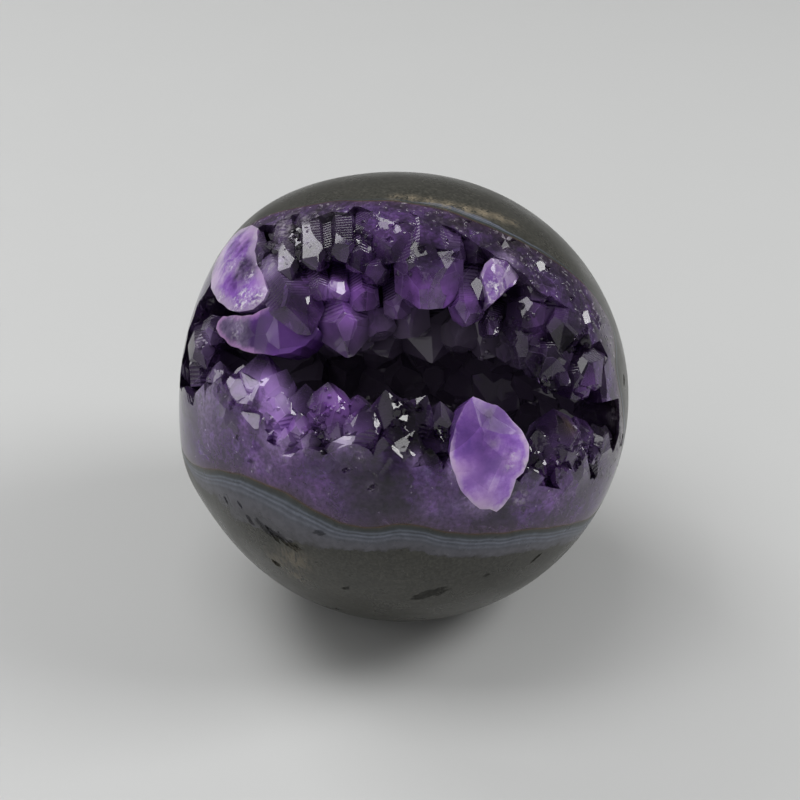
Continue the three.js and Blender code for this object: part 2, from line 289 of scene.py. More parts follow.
# crystals that stand out: tip, root, radius, all in mm in the mouth's frame, and turn in degrees
standing = [
    ((-20.8, 1.2, 26.6), (-22.2, -11.8, 16.7), 4.6, 26),
    ((-24.0, -0.5, 24.6), (-24.5, -12.5, 18.1), 3.8, 3),
    ((-17.4, -1.9, 28.0), (-22.8, -13.0, 21.4), 4.0, 21),
    ((-22.2, -4.7, 26.3), (-23.7, -13.7, 22.2), 3.0, 10),
    ((-18.0, -5.5, 28.9), (-16.8, -14.0, 22.6), 3.0, 14),
    ((-14.4, -4.3, 29.6), (-15.0, -13.3, 20.5), 3.4, 34),
    ((-11.2, -4.4, 30.5), (-10.1, -14.7, 22.3), 3.8, 11),
    ((-15.4, -8.6, 30.1), (-13.8, -14.8, 24.1), 2.3, 26),
    ((-20.0, -8.4, 27.7), (-22.2, -14.0, 23.6), 2.2, 41),
    ((-11.9, -7.4, 31.1), (-12.5, -13.6, 22.5), 2.6, 31),
    ((-24.4, -5.5, 25.1), (-25.0, -12.8, 22.3), 2.1, 19),
    ((-17.4, -10.8, 29.1), (-16.2, -15.6, 24.4), 1.8, 23),
    ((-13.4, -11.4, 30.6), (-13.8, -15.4, 24.2), 2.0, 51),
    ((-14.9, -12.8, 29.4), (-15.1, -16.6, 23.3), 2.8, 31),
    ((-8.4, -7.6, 30.9), (-13.3, -14.3, 23.7), 3.2, 3),
    ((-9.6, -10.4, 31.5), (-10.1, -15.3, 23.5), 2.4, 18),
    ((-27.0, -1.3, 22.9), (-28.1, -10.9, 17.0), 3.6, 57),
    ((-30.0, -1.8, 19.3), (-30.2, -8.0, 13.4), 2.6, 35),
    ((-29.6, 4.8, 16.1), (-29.1, 8.6, 13.4), 2.2, 42),
    ((-30.3, 1.3, 15.3), (-31.6, 6.7, 11.8), 2.6, 15),
    ((-31.0, 7.0, 13.0), (-31.5, 8.6, 3.0), 2.4, 17),
    ((-31.7, 4.4, 12.9), (-31.3, -0.7, 11.7), 2.0, 30),
    ((-28.0, 1.4, 19.2), (-27.6, -4.1, 16.4), 2.4, 11),
    ((-2.6, -5.9, 31.8), (-0.8, -15.8, 22.6), 3.6, 19),
    ((-5.1, -8.0, 32.1), (-7.5, -18.2, 25.9), 3.2, 5),
    ((-0.1, -7.2, 30.1), (2.1, -16.5, 21.3), 3.0, 23),
    ((3.4, -6.3, 30.2), (-2.7, -15.8, 21.8), 3.4, 7),
    ((5.4, -6.9, 28.8), (5.1, -16.0, 18.9), 3.0, 34),
    ((1.7, -11.8, 32.1), (-1.9, -19.8, 25.6), 3.0, 37),
    ((-1.2, -10.6, 32.5), (-1.2, -16.1, 23.6), 3.0, 32),
    ((-8.1, -12.3, 32.3), (-7.9, -18.8, 22.9), 3.6, 3),
    ((-3.2, -13.0, 32.9), (-0.9, -20.4, 25.1), 3.2, 23),
    ((4.9, -10.8, 30.4), (5.4, -17.0, 21.0), 3.0, 4),
    ((-6.7, -6.3, 30.1), (-6.9, -13.9, 19.7), 3.0, 33),
    ((1.2, -8.7, 30.6), (-2.0, -17.9, 23.4), 2.4, 42),
    ((3.9, -14.2, 31.2), (3.3, -22.3, 25.8), 2.4, 17),
    ((-5.5, -11.5, 32.4), (-5.6, -16.8, 23.7), 2.4, 29),
    ((0.0, -14.1, 32.4), (1.6, -20.1, 25.7), 2.2, 25),
    ((22.0, -7.3, 24.2), (23.6, -17.5, 11.5), 4.2, 9),
    ((19.6, -10.2, 24.2), (20.8, -17.6, 12.9), 3.0, 38),
    ((25.5, -7.4, 20.1), (27.1, -16.3, 7.6), 3.0, 7),
    ((28.7, -7.6, 16.1), (31.7, -18.1, 8.6), 2.5, 46),
    ((23.2, -12.5, 22.9), (26.3, -18.3, 14.8), 2.6, 35),
    ((27.0, -10.9, 17.5), (31.4, -16.1, 7.8), 2.2, 41),
    ((20.1, -14.7, 24.2), (16.3, -17.4, 14.6), 2.4, 38),
    ((31.0, -7.1, 12.7), (28.6, -13.5, 6.3), 1.9, 39),
    ((18.3, -12.7, 24.9), (19.7, -19.0, 13.8), 2.8, 38),
    ((24.9, -13.9, 19.7), (22.3, -14.5, 9.7), 1.9, 22),
    ((22.6, -15.6, 22.6), (25.8, -19.2, 15.4), 1.8, 48),
    ((29.6, -10.6, 13.7), (34.1, -15.5, 7.5), 1.8, 26),
    ((24.4, -10.3, 21.8), (27.9, -19.2, 15.2), 2.2, 57),
    ((21.1, -12.4, 23.5), (22.3, -17.7, 13.6), 2.2, 58),
    ((17.7, -15.7, 25.0), (21.0, -20.6, 16.7), 2.0, 38),
    ((28.0, -12.3, 16.1), (31.6, -15.1, 7.1), 1.6, 56),
    ((30.3, -9.1, 13.3), (28.0, -15.1, 7.9), 1.5, 41),
    ((26.1, -14.2, 17.9), (26.4, -18.9, 10.7), 1.6, 5),
    ((30.6, -11.1, 11.5), (31.5, -14.0, 2.8), 1.4, 1),
    ((28.0, -9.3, 16.4), (25.4, -15.4, 9.7), 1.9, 33),
    ((30.1, -4.7, 18.3), (30.7, 3.3, 12.1), 4.6, 45),
    ((23.3, -3.5, 24.4), (23.9, 1.8, 16.0), 1.8, 51),
    ((20.2, -2.5, 25.4), (23.4, 6.1, 16.3), 3.8, 3),
    ((26.4, -3.0, 22.7), (28.6, 4.3, 13.4), 3.4, 28),
    ((23.3, 1.7, 24.5), (24.7, 14.3, 18.8), 3.6, 47),
    ((28.1, 3.0, 21.6), (27.5, 13.1, 16.2), 2.2, 1),
    ((21.5, -4.0, 23.8), (24.3, 2.5, 15.7), 1.6, 50),
    ((25.7, -4.1, 23.0), (28.4, -0.6, 15.1), 1.5, 45),
    ((24.9, -4.9, 22.4), (27.1, 3.7, 15.8), 3.2, 14),
    ((31.9, -2.7, 16.2), (31.3, 4.4, 14.3), 2.6, 24),
    ((29.3, 6.3, 19.3), (31.2, 14.8, 7.8), 2.6, 7),
    ((25.4, 8.3, 22.9), (27.7, 17.1, 11.4), 2.6, 6),
    ((30.8, 0.0, 18.2), (31.2, 4.6, 12.2), 2.0, 36),
    ((-1.5, 13.6, 31.6), (-2.2, 25.7, 21.2), 4.6, 37),
    ((3.8, 6.2, 32.5), (3.5, 22.2, 22.2), 6.0, 31),
    ((9.1, 4.3, 29.9), (9.5, 15.8, 24.1), 2.8, 53),
    ((12.3, 3.8, 27.0), (13.9, 9.2, 20.6), 1.8, 40),
    ((17.5, 4.8, 27.9), (20.2, 13.2, 17.0), 3.4, 23),
    ((16.2, 2.7, 24.6), (19.1, 10.2, 17.6), 3.2, 5),
    ((21.1, 4.8, 24.3), (22.2, 16.7, 19.0), 2.8, 50),
    ((6.9, 12.7, 31.8), (7.7, 21.4, 24.2), 2.1, 54),
    ((-5.0, 16.2, 30.1), (-5.1, 26.0, 20.5), 2.6, 30),
    ((1.2, 10.6, 31.3), (-0.7, 21.4, 24.4), 2.4, 11),
    ((10.9, 8.2, 30.3), (12.7, 15.6, 21.6), 2.4, 42),
    ((19.0, 8.9, 27.7), (21.2, 16.0, 18.6), 2.2, 39),
    ((18.9, 2.7, 24.6), (21.7, 8.7, 17.3), 2.0, 32),
    ((10.4, 14.2, 29.4), (10.7, 22.0, 22.1), 2.8, 28),
    ((19.6, 13.5, 25.3), (21.5, 20.9, 16.2), 2.6, 7),
    ((22.2, 10.1, 25.2), (24.2, 17.9, 16.5), 2.6, 9),
    ((14.1, 16.7, 27.4), (14.8, 23.4, 19.8), 2.2, 18),
    ((5.9, 12.8, 32.5), (5.4, 18.5, 24.3), 2.2, 39),
    ((2.2, 14.0, 32.4), (2.1, 19.9, 24.4), 1.9, 51),
    ((-12.9, 12.9, 29.9), (-14.6, 26.3, 18.6), 2.5, 8),
    ((-8.6, 13.9, 30.6), (-9.2, 25.7, 20.4), 2.5, 5),
    ((-6.5, 12.3, 31.0), (-6.1, 24.3, 21.1), 2.6, 31),
    ((-21.4, 14.7, 24.5), (-23.7, 23.3, 14.5), 2.0, 49),
    ((-16.8, 11.8, 28.6), (-18.2, 23.4, 18.7), 2.2, 11),
    ((-10.0, 8.3, 30.4), (-9.7, 15.4, 20.3), 2.3, 51),
    ((-13.8, 3.1, 29.9), (-19.5, 14.4, 21.2), 4.6, 54),
    ((-8.3, 0.4, 27.3), (-10.3, 12.0, 21.9), 4.4, 33),
    ((-19.3, 12.8, 26.9), (-18.6, 16.9, 16.1), 1.7, 55),
    ((-11.0, 14.3, 29.4), (-11.7, 24.7, 19.8), 1.8, 20),
    ((-15.2, 14.7, 27.9), (-16.8, 23.6, 18.7), 1.4, 6),
    ((-18.7, 16.4, 25.5), (-19.2, 22.2, 17.0), 1.3, 53),
    ((-4.1, 10.4, 31.2), (-4.3, 19.6, 22.8), 2.2, 10),
    ((-12.1, 8.2, 30.2), (-13.7, 16.1, 22.7), 1.8, 35),
    ((-5.8, 6.9, 29.3), (-6.4, 16.5, 21.4), 2.6, 37),
    ((-14.8, 8.5, 29.1), (-15.4, 14.4, 20.4), 2.0, 52),
    ((4.4, 1.4, 19.1), (3.2, 13.1, 12.2), 5.6, 3),
    ((11.9, 1.9, 19.5), (14.1, 13.8, 14.6), 4.4, 40),
    ((-2.4, 2.1, 19.3), (-4.6, 13.0, 11.9), 4.6, 10),
    ((7.8, 3.2, 22.6), (10.0, 10.8, 13.5), 3.4, 41),
    ((0.9, 3.8, 25.3), (0.2, 14.0, 17.4), 3.8, 36),
    ((-4.0, 4.1, 27.0), (-4.3, 11.1, 17.3), 3.2, 53),
    ((17.4, -0.4, 22.9), (20.7, 12.4, 17.6), 4.6, 38),
    ((-0.9, 6.0, 28.0), (-1.4, 14.6, 20.8), 2.4, 32),
    ((15.2, 0.7, 22.1), (18.0, 8.2, 15.0), 2.2, 42),
    ((-6.3, 2.1, 23.8), (-7.7, 10.8, 17.3), 2.4, 37),
]


def endShape(dice):
    narrow = dice.uniform(*crystalForm["narrow"])
    shape = []
    for _ in range(3):
        shape += [dice.uniform(*crystalForm["broad"]), narrow + dice.uniform(0, 0.15)]
    return shape


def growDruse():
    dice = random.Random(druse["seed"])
    grown = []
    for number, (tip, root, radius, spin) in enumerate(standing):
        grown.append(crystalBody(
            f"crystal{number}", Vector(tip) * mm, Vector(root) * mm, radius * mm,
            math.radians(spin), endShape(dice), dice.random()))
    taken = [Vector(one[0]) * mm for one in standing]
    for row, fall in enumerate(druse["rows"]):
        around = math.pi * sum(
            wallPoint(turn, fall, "roomAngles").xy.length for turn in (0, math.pi / 2))
        count = max(4, round(around / druse["spacing"]))
        for i in range(count):
            turn = (i + 0.7 * dice.random()) / count * 2 * math.pi
            depth = min(0.98, max(0.02, fall + 0.05 * (dice.random() - 0.5)))
            root = wallPoint(turn, depth, "roomAngles", -druse["rootDepth"])
            axis = (wallPoint(turn, depth, "roomAngles") - root).normalized()
            axis += Vector([druse["lean"] * (dice.random() - 0.5) for _ in range(3)])
            radius = dice.uniform(*druse["radius"]) * (1 + druse["deepGain"] * fall)
            tip = root + axis.normalized() * (
                druse["rootDepth"] + radius * dice.uniform(*druse["stand"]))
            if (tip - druse["bare"][0]).length < druse["bare"][1] or any(
                    (tip - other).length < druse["elbowRoom"] for other in taken):
                continue
            grown.append(crystalBody(
                f"filler{row}x{i}", tip, root, radius, dice.uniform(0, 2), endShape(dice),
                dice.random()))
    return grown


# tiny crystals on the others: centre in the mouth's frame, reach, number, least and most radius, in mm
tinyClusters = [
    ((-5.8, 18.5, 29.2), 3, 22, 0.25, 0.6),
    ((3.1, 13.5, 31.9), 3.4, 18, 0.25, 0.6),
    ((25.0, 6.9, 23.3), 4, 30, 0.25, 0.6),
    ((-0.6, -9.8, 31.5), 3.4, 7, 0.3, 0.6),
    ((24.1, -13.5, 21.6), 3.4, 24, 0.25, 0.6),
    ((-15.6, 17.0, 26.2), 3, 16, 0.3, 0.6),
    ((17.2, 7.2, 28.1), 3, 18, 0.25, 0.6),
    ((-9.3, -7.9, 31.8), 2.6, 14, 0.25, 0.5),
    ((-18.9, -9.4, 28.1), 2.4, 12, 0.25, 0.5),
    ((-31.4, 4.0, 16.2), 2.4, 16, 0.3, 0.7),
    ((-18.0, 19.9, 24.4), 3.6, 60, 0.4, 0.9),
    ((-21.1, 18.2, 23.3), 2, 16, 0.4, 0.8),
    ((-21.4, 14.5, 25.3), 1.6, 8, 0.4, 0.8),
    ((23.0, -4.2, 27.3), 2, 10, 0.4, 0.8),
    ((28.5, -13.7, 17.2), 2.2, 14, 0.4, 0.9),
    ((25.5, -13.0, 21.8), 2.4, 12, 0.5, 1),
    ((4.8, 20.5, 29.2), 3.5, 18, 0.4, 0.8),
    ((21.3, 15.7, 24.4), 3.5, 20, 0.4, 0.8),
    ((29.7, 11.8, 16.7), 3.5, 20, 0.4, 0.8),
    ((-13.3, -11.3, 31.5), 2.6, 12, 0.4, 0.8),
    ((-0.3, -8.6, 35.0), 2.2, 10, 0.5, 0.9),
    ((6.6, -12.8, 33.0), 1.8, 8, 0.4, 0.8),
    ((18.6, -18.9, 24.3), 1.6, 10, 0.35, 0.7),
    ((-4.3, 21.9, 28.3), 3, 12, 0.4, 0.8),
    ((28.1, 4.9, 21.9), 3, 12, 0.4, 0.8),
    ((-28.8, 5.0, 21.1), 1.6, 8, 0.4, 0.8),
]


def growTiny(piece):
    dice = random.Random(druse["tinySeed"])
    bm = bmesh.new()
    bm.from_mesh(piece.data)
    surface = BVHTree.FromBMesh(bm)
    bm.free()
    grown = []
    toMouth = mouthFrame.inverted()
    clusters = list(tinyClusters)
    for _ in range(druse["chips"]):  # broken edges where the polish meets the hollow
        turn = dice.uniform(-math.pi, math.pi)
        tilt = math.radians(aroundRim(mouth["roomAngles"], turn) - abs(dice.gauss(0, 2)))
        place = Vector((math.sin(tilt) * math.cos(turn), math.sin(tilt) * math.sin(turn), math.cos(tilt)))
        clusters.append((place * ball["radius"] / mm, 1.0, 3, 0.2, 0.5))
    for cluster, (centre, reach, count, least, most) in enumerate(clusters):
        for number in range(count):
            stray = Vector([dice.gauss(0, reach / 2) for _ in range(3)])
            out = (mouthFrame @ ((Vector(centre) + stray) * mm) - ballCentre).normalized()
            place, normal, _, _ = surface.ray_cast(ballCentre + out * ball["radius"] * 1.2, -out)
            radius = dice.uniform(least, most) * mm
            spin, shape, tone = dice.uniform(0, 2), endShape(dice), dice.random()
            lean = Vector([druse["tinyLean"] * (dice.random() - 0.5) for _ in range(3)])
            if place is None or (place - ballCentre).length > ball["radius"] - 0.3 * mm:
                continue
            axis = (normal + out * 0.6 + lean).normalized()
            grown.append(crystalBody(
                f"tiny{cluster}x{number}", toMouth @ (place + axis * radius * 1.1),
                toMouth @ (place - axis * radius), radius, spin, shape, tone))
    return grown


# holes in the polished skin: centre in the mouth's frame, half length, width and depth, in mm, and turn
pits = [
    ((30.2, -5.4, 18.9), (1.6, 0.3, 1.5), -15),
    ((32.0, -6.2, 15.2), (1.9, 0.3, 1.8), -52),
    ((33.7, -8.5, 9.5), (2.2, 0.3, 1.6), -78),
    ((7.8, -35.0, -3.3), (1, 0.4, 0.3), 10),
    ((3.9, -33.3, 13.1), (3.4, 1.1, 0.5), 25),
    ((-19.6, -28.3, 10.6), (1, 0.7, 0.4), -20),
    ((-21.1, -23.8, 16.9), (2, 0.5, 0.4), -35),
    ((-19.7, -24.7, 17.2), (1.6, 0.6, 0.5), -40),
    ((-17.9, -25.8, 17.6), (2.2, 0.7, 0.5), -30),
    ((-16.5, -26.5, 17.9), (1.2, 0.6, 0.4), -20),
    ((-12.4, -25.3, 22.4), (1, 0.5, 0.35), 10),
    ((-23.3, -22.4, 15.9), (1, 0.5, 0.3), -40),
    ((7.6, -35.0, -3.3), (1.2, 0.5, 0.3), 0),
    ((20.2, -27.6, 11.3), (1.4, 0.35, 0.2), 30),
    ((12.5, -30.6, 14.3), (0.6, 0.4, 0.2), 0),
    ((-8.8, -32.4, 13.0), (0.7, 0.4, 0.2), 40),
    ((-24.8, -20.2, 16.5), (0.8, 0.4, 0.3), -40),
    ((-27.2, -19.0, 14.0), (0.7, 0.35, 0.3), -50),
    ((33.9, -12.0, 1.6), (1.6, 0.8, 0.5), 80),
    ((34.2, -8.5, 7.4), (1.2, 0.7, 0.5), 80),
    ((33.0, -4.9, 13.5), (1.5, 0.7, 0.4), 80),
    ((34.4, 0.4, 10.7), (1, 0.5, 0.4), 80),
    ((6.8, 14.3, 32.3), (1.8, 1.1, 0.8), 20),
    ((2.5, 15.4, 32.5), (1.0, 0.7, 0.5), 60),
    ((-3.6, 19.3, 30.2), (0.9, 0.5, 0.4), 30),
    ((-2.2, 17.1, 31.6), (0.7, 0.6, 0.4), 80),
    ((-0.7, 20.1, 29.8), (0.8, 0.4, 0.4), 10),
    ((-19.0, -11.4, 28.3), (1.3, 0.9, 0.7), 30),
    ((-8.4, -17.3, 30.4), (0.8, 0.4, 0.3), 20),
    ((-4.6, -19.7, 29.8), (0.7, 0.5, 0.35), 50),
    ((-16.3, -13.6, 29.0), (1.4, 0.4, 0.4), 35),
    ((-13.2, -12.9, 30.9), (1.5, 0.5, 0.4), 25),
    ((-8.8, -12.7, 32.5), (1.7, 0.5, 0.4), -10),
    ((-25.6, -6.3, 24.5), (1.0, 0.5, 0.4), 50),
    ((-22.8, -14.7, 23.6), (0.6, 0.4, 0.3), 0),
    ((-24.8, -11.1, 23.6), (0.5, 0.3, 0.25), 70),
    ((-27.7, -3.4, 22.7), (0.9, 0.5, 0.4), 60),
    ((23.2, -16.9, 21.6), (0.6, 0.4, 0.3), 0),
    ((26.9, -12.6, 20.4), (1.9, 1.2, 1.1), 40),
    ((28.7, -10.4, 19.1), (1.7, 1.0, 1.0), 70),
    ((26.1, -14.5, 20.1), (1.3, 0.9, 0.8), 10),
    ((28.4, -12.9, 17.9), (1.0, 0.7, 0.6), 100),
    ((22.6, -17.8, 21.6), (0.7, 0.4, 0.3), 30),
    ((9.6, 21.0, 27.6), (0.7, 0.4, 0.3), 20),
    ((16.2, 18.4, 26.3), (0.8, 0.4, 0.3), 40),
    ((21.7, 14.6, 24.7), (0.7, 0.4, 0.35), 50),
    ((25.3, 10.0, 23.5), (0.8, 0.5, 0.4), 60),
    ((27.5, 5.5, 22.6), (0.9, 0.5, 0.45), 70),
]


# facets broken off the skin: which way they face, how deep, in mm, and their corners on the skin
facets = [
    ((-0.308, 0.239, 0.921), 0.7, [(-24.8, -1.6, 26.0), (-21.0, -3.9, 29.0), (-22.7, -7.1, 27.0)]),
    ((-0.295, 0.305, 0.906), 0.6, [(-27.2, -1.9, 23.5), (-25.0, -1.6, 25.9), (-22.9, -7.2, 26.8),
        (-25.4, -6.5, 24.7)]),
    ((-0.32, 0.256, 0.912), 0.7, [(-20.8, -7.8, 28.3), (-19.3, -5.6, 29.9), (-15.1, -5.5, 32.2),
        (-15.4, -7.5, 31.7), (-17.6, -8.5, 30.2)]),
    ((-0.304, 0.263, 0.916), 0.7, [(-20.6, -11.2, 27.3), (-18.6, -10.4, 29.1),
        (-18.0, -12.6, 28.5), (-19.3, -12.5, 27.7)]),
    ((-0.25, 0.232, 0.94), 0.5, [(-12.5, -13.9, 30.8), (-10.7, -12.6, 32.0), (-6.8, -12.2, 33.2),
        (-7.6, -14.1, 32.2), (-10.0, -14.9, 31.2)]),
    ((-0.304, 0.237, 0.923), 0.4, [(-15.4, -13.8, 29.4), (-11.9, -12.8, 31.5),
        (-8.1, -12.0, 33.0), (-7.9, -12.6, 32.8), (-11.9, -13.6, 31.1), (-14.8, -14.4, 29.4)]),
    ((-0.286, 0.247, 0.926), 0.4, [(-17.9, -14.8, 27.5), (-15.7, -13.8, 29.3),
        (-15.1, -14.3, 29.4), (-17.0, -15.6, 27.6)]),
    ((-0.124, 0.291, 0.949), 0.25, [(4.7, 15.6, 32.1), (8.0, 15.3, 31.6), (8.4, 13.4, 32.3),
        (6.1, 12.4, 33.2)]),
    ((-0.109, 0.247, 0.963), 0.25, [(1.3, 15.9, 32.3), (2.9, 16.3, 32.0), (3.5, 14.5, 32.7),
        (1.9, 13.9, 33.1)]),
    ((-0.098, 0.286, 0.953), 0.2, [(-3.9, 20.4, 29.4), (-2.7, 21.0, 29.1), (-2.2, 19.2, 30.4),
        (-3.4, 18.7, 30.6)]),
    ((-0.275, 0.271, 0.922), 0.2, [(-1.8, 19.6, 30.1), (-0.7, 20.3, 29.7), (-0.3, 18.6, 30.8),
        (-1.3, 18.1, 31.1)]),
    ((0.47, 0.142, 0.871), 0.7, [(27.7, -11.7, 19.8), (29.2, -11.1, 17.8), (29.2, -13.0, 16.6),
        (27.9, -13.2, 18.5)]),
    ((0.495, 0.127, 0.86), 0.7, [(25.5, -12.6, 22.0), (26.8, -11.9, 20.8), (27.2, -13.3, 19.4),
        (25.9, -13.9, 20.8)]),
    ((0.447, 0.189, 0.874), 0.7, [(28.3, -9.5, 20.1), (30.1, -8.9, 17.7), (30.3, -10.2, 16.5),
        (28.7, -10.8, 18.8)]),
    ((-0.247, 0.16, 0.956), 0.4, [(-24.3, -7.7, 25.4), (-22.4, -7.6, 27.1), (-20.8, -8.7, 28.0),
        (-21.5, -10.7, 26.8), (-23.7, -10.5, 25.0)]),
    ((-0.326, 0.17, 0.93), 0.4, [(-15.1, -10.7, 30.9), (-12.9, -10.3, 32.0),
        (-11.9, -11.8, 31.9), (-13.9, -12.6, 30.7)]),
    ((0.464, 0.172, 0.869), 0.6, [(23.5, -15.3, 22.6), (24.6, -14.7, 21.8), (25.2, -15.8, 20.3),
        (24.0, -16.4, 21.2)]),
    ((-0.071, 0.291, 0.954), 0.25, [(14.4, 17.8, 27.8), (15.5, 18.6, 26.6), (16.0, 17.4, 27.1),
        (14.9, 16.6, 28.2)]),
    ((0.467, 0.127, 0.875), 0.3, [(19.8, 15.2, 25.9), (21.0, 16.1, 24.4), (21.6, 14.6, 24.9),
        (20.4, 13.7, 26.3)]),
    ((0.484, 0.171, 0.858), 0.3, [(26.9, 8.4, 22.4), (28.0, 9.1, 20.7), (28.6, 7.3, 20.6),
        (27.5, 6.5, 22.3)]),
]

pitForm = {"seed": 8, "scattered": 26, "size": (0.3, 0.8)}


def pitBody(name, centre, size, turn):
    bm = bmesh.new()
    bmesh.ops.create_icosphere(bm, subdivisions=4 if size[0] > 1.5 else 3, radius=1)
    out = Vector(centre).normalized()
    across = (Vector((1, 0, 0)) - out * out.x).normalized()
    along = Matrix.Rotation(math.radians(turn), 3, out) @ across
    axes = Matrix((along, out.cross(along), out)).transposed()
    middle = out * (ballReach((mouthFrame.to_3x3() @ out).normalized()))
    for vert in bm.verts:
        stray = noise.noise_vector(vert.co * 2.1 + Vector(centre)) * 0.6
        stray += noise.noise_vector(vert.co * 4 + Vector(centre)) * 0.2
        place = vert.co + stray
        place = Vector((place.x * size[0], place.y * size[1], place.z * size[2])) * mm
        vert.co = mouthFrame @ (middle + axes @ place)
    bmesh.ops.recalc_face_normals(bm, faces=bm.faces)
    return meshObject(name, bm)


def facetBody(name, facing, deep, corners):  # what is taken off
    bm = bmesh.new()
    facing = Vector(facing)
    middle = sum((Vector(corner) for corner in corners), Vector()) / len(corners)
    ring = []
    for corner in corners:
        place = Vector(corner)
        place -= facing * (place - middle).dot(facing) + middle.normalized() * deep
        ring.append(bm.verts.new(place * mm))
    base = bm.faces.new(ring)
    lifted = bmesh.ops.extrude_face_region(bm, geom=[base])["geom"]
    bmesh.ops.translate(
        bm, vec=facing * 6 * mm, verts=[one for one in lifted if isinstance(one, bmesh.types.BMVert)])
    bmesh.ops.transform(bm, matrix=mouthFrame, verts=bm.verts)
    bmesh.ops.recalc_face_normals(bm, faces=bm.faces)
    return meshObject(name, bm)


stone = ballBody("stoneBall")
whole = copyOf(stone, "whole")
report("ball made")
hollow = hollowBody("hollow")
combine(stone, [hollowBody("seat", inset=0.04 * mm)], "DIFFERENCE")
dice = random.Random(pitForm["seed"])
for _ in range(pitForm["scattered"]):
    around, up = dice.uniform(0, 2 * math.pi), dice.uniform(-0.95, 0.1)
    flat = math.sqrt(1 - up * up)
    size = dice.uniform(*pitForm["size"])
    pits.append((
        (flat * math.cos(around), flat * math.sin(around), up),
        (size * dice.uniform(0.8, 2), size * 0.6, size * 0.35), dice.uniform(0, 180)))
holes = [pitBody(f"pit{number}", *one) for number, one in enumerate(pits)]
combine(stone, holes, "DIFFERENCE")
report(f"stone cut, {len(stone.data.polygons)} faces")
crystals = growDruse()
report(f"{len(crystals)} crystals grown")
crust = hollowBody("amethystCrust")
combine(crust, [hollowBody("room", "roomAngles")], "DIFFERENCE")
combine(crust, crystals, "UNION")
combine(crust, growTiny(crust), "UNION")
combine(crust, [hollow], "INTERSECT")
combine(crust, [whole], "INTERSECT")
combine(crust, holes, "DIFFERENCE")
combine(crust, [facetBody(f"facet{number}", *one) for number, one in enumerate(facets)], "DIFFERENCE")
report(f"crust joined, {len(crust.data.polygons)} faces")


# crystals that the ball's skin cuts flat: outline on the skin, then end faces, in mm in the mouth's frame
cutCrystals = {
    "lilac": {
        "outline": [
            (10.1, -6.9, 33.9), (12.0, -7.5, 33.1), (13.9, -8.0, 32.2), (15.9, -9.8, 30.7),
            (17.2, -11.2, 29.6), (18.0, -13.3, 28.2), (18.0, -15.3, 27.1), (17.3, -16.9, 26.6),
            (16.4, -17.9, 26.6), (16.1, -19.2, 25.9), (15.6, -20.4, 25.2), (14.4, -21.7, 24.9),
            (13.5, -22.4, 24.7), (12.4, -22.1, 25.6), (11.1, -22.1, 26.1), (9.8, -21.3, 27.3),
            (8.2, -19.9, 28.9), (7.1, -17.3, 30.7), (6.6, -15.4, 31.9), (6.8, -13.8, 32.5),
            (7.7, -11.1, 33.4), (8.9, -8.2, 33.9),
        ],
        "ends": [  # three points of each sloping face
            ((6.7, -14.0, 32.3), (10.8, -10.6, 32.6), (9.8, -7.4, 33.0)),
            ((10.8, -10.6, 32.6), (17.4, -11.4, 29.4), (9.9, -7.4, 33.0)),
        ],
        "tone": 0.9,
    },
    "granular": {
        "outline": [
            (12.9, 15.1, 30.0), (14.8, 16.4, 28.4), (15.8, 16.4, 27.9), (16.8, 15.7, 27.7),
            (18.5, 15.8, 26.5), (18.9, 14.6, 26.9), (18.0, 13.0, 28.3), (16.9, 11.2, 29.7),
            (15.6, 10.0, 30.9), (14.5, 8.7, 31.7), (13.5, 7.6, 32.5), (12.9, 7.7, 32.7),
            (12.4, 10.1, 32.3), (11.8, 12.4, 31.7), (12.1, 14.1, 30.8),
        ],
        "ends": [
            ((15.0, 14.4, 29.4), (12.3, 14.8, 29.7), (13.1, 8.0, 31.1)),
            ((15.0, 14.4, 29.4), (18.9, 14.6, 26.1), (13.5, 8.0, 31.0)),
            ((15.0, 14.4, 29.4), (12.3, 15.0, 29.6), (19.0, 15.7, 25.3)),
        ],
        "tone": 0.75,
    },
    "ovoid": {
        "outline": [
            (-23.7, 23.9, 15.8), (-22.4, 22.6, 18.5), (-22.4, 20.2, 20.7), (-22.7, 18.1, 21.9),
            (-22.0, 15.0, 24.4), (-20.8, 12.2, 26.8), (-20.2, 10.0, 28.1), (-20.8, 8.6, 28.1),
            (-22.3, 7.6, 27.2), (-24.6, 7.7, 25.2), (-26.6, 8.8, 22.8), (-28.5, 11.0, 19.5),
            (-29.8, 14.1, 15.6), (-30.0, 17.2, 12.8), (-29.4, 19.7, 11.4), (-28.4, 22.1, 10.4),
            (-26.9, 23.7, 11.2), (-25.3, 24.2, 13.2),
        ],
        "ends": [],
        "tone": 0.6,
    },
    "violet": {
        "outline": [
            (-28.3, 5.8, 21.5), (-28.0, 7.0, 21.6), (-27.2, 7.6, 22.4), (-25.9, 7.5, 24.0),
            (-24.1, 6.9, 25.9), (-22.4, 6.6, 27.4), (-21.2, 7.0, 28.3), (-19.8, 7.9, 29.0),
            (-18.1, 8.1, 30.0), (-16.1, 7.3, 31.3), (-14.6, 6.0, 32.3), (-13.5, 4.4, 33.0),
            (-14.3, 2.8, 32.9), (-15.7, 1.5, 32.3), (-17.7, 0.5, 31.3), (-20.0, 0.1, 30.0),
            (-22.0, 0.4, 28.5), (-24.0, 1.4, 26.8), (-26.2, 3.1, 24.5), (-27.6, 4.4, 22.8),
        ],
        "ends": [((-20.8, 7.8, 28.4), (-21.8, 0.4, 28.6), (-14.5, 5.2, 28.9))],
        "tone": 0.3,
    },
}
cutForm = {
    "depth": 8 * mm,
    "stand": 2 * mm,
    "topScale": 1.095,  # so that the outline is true where it meets the skin
    "taper": 0.62,
    "proud": 0.12 * mm,
    "waver": 0.3 * mm,
    "waverSize": 2.2 * mm,
    "rounding": 0.22 * mm,
}


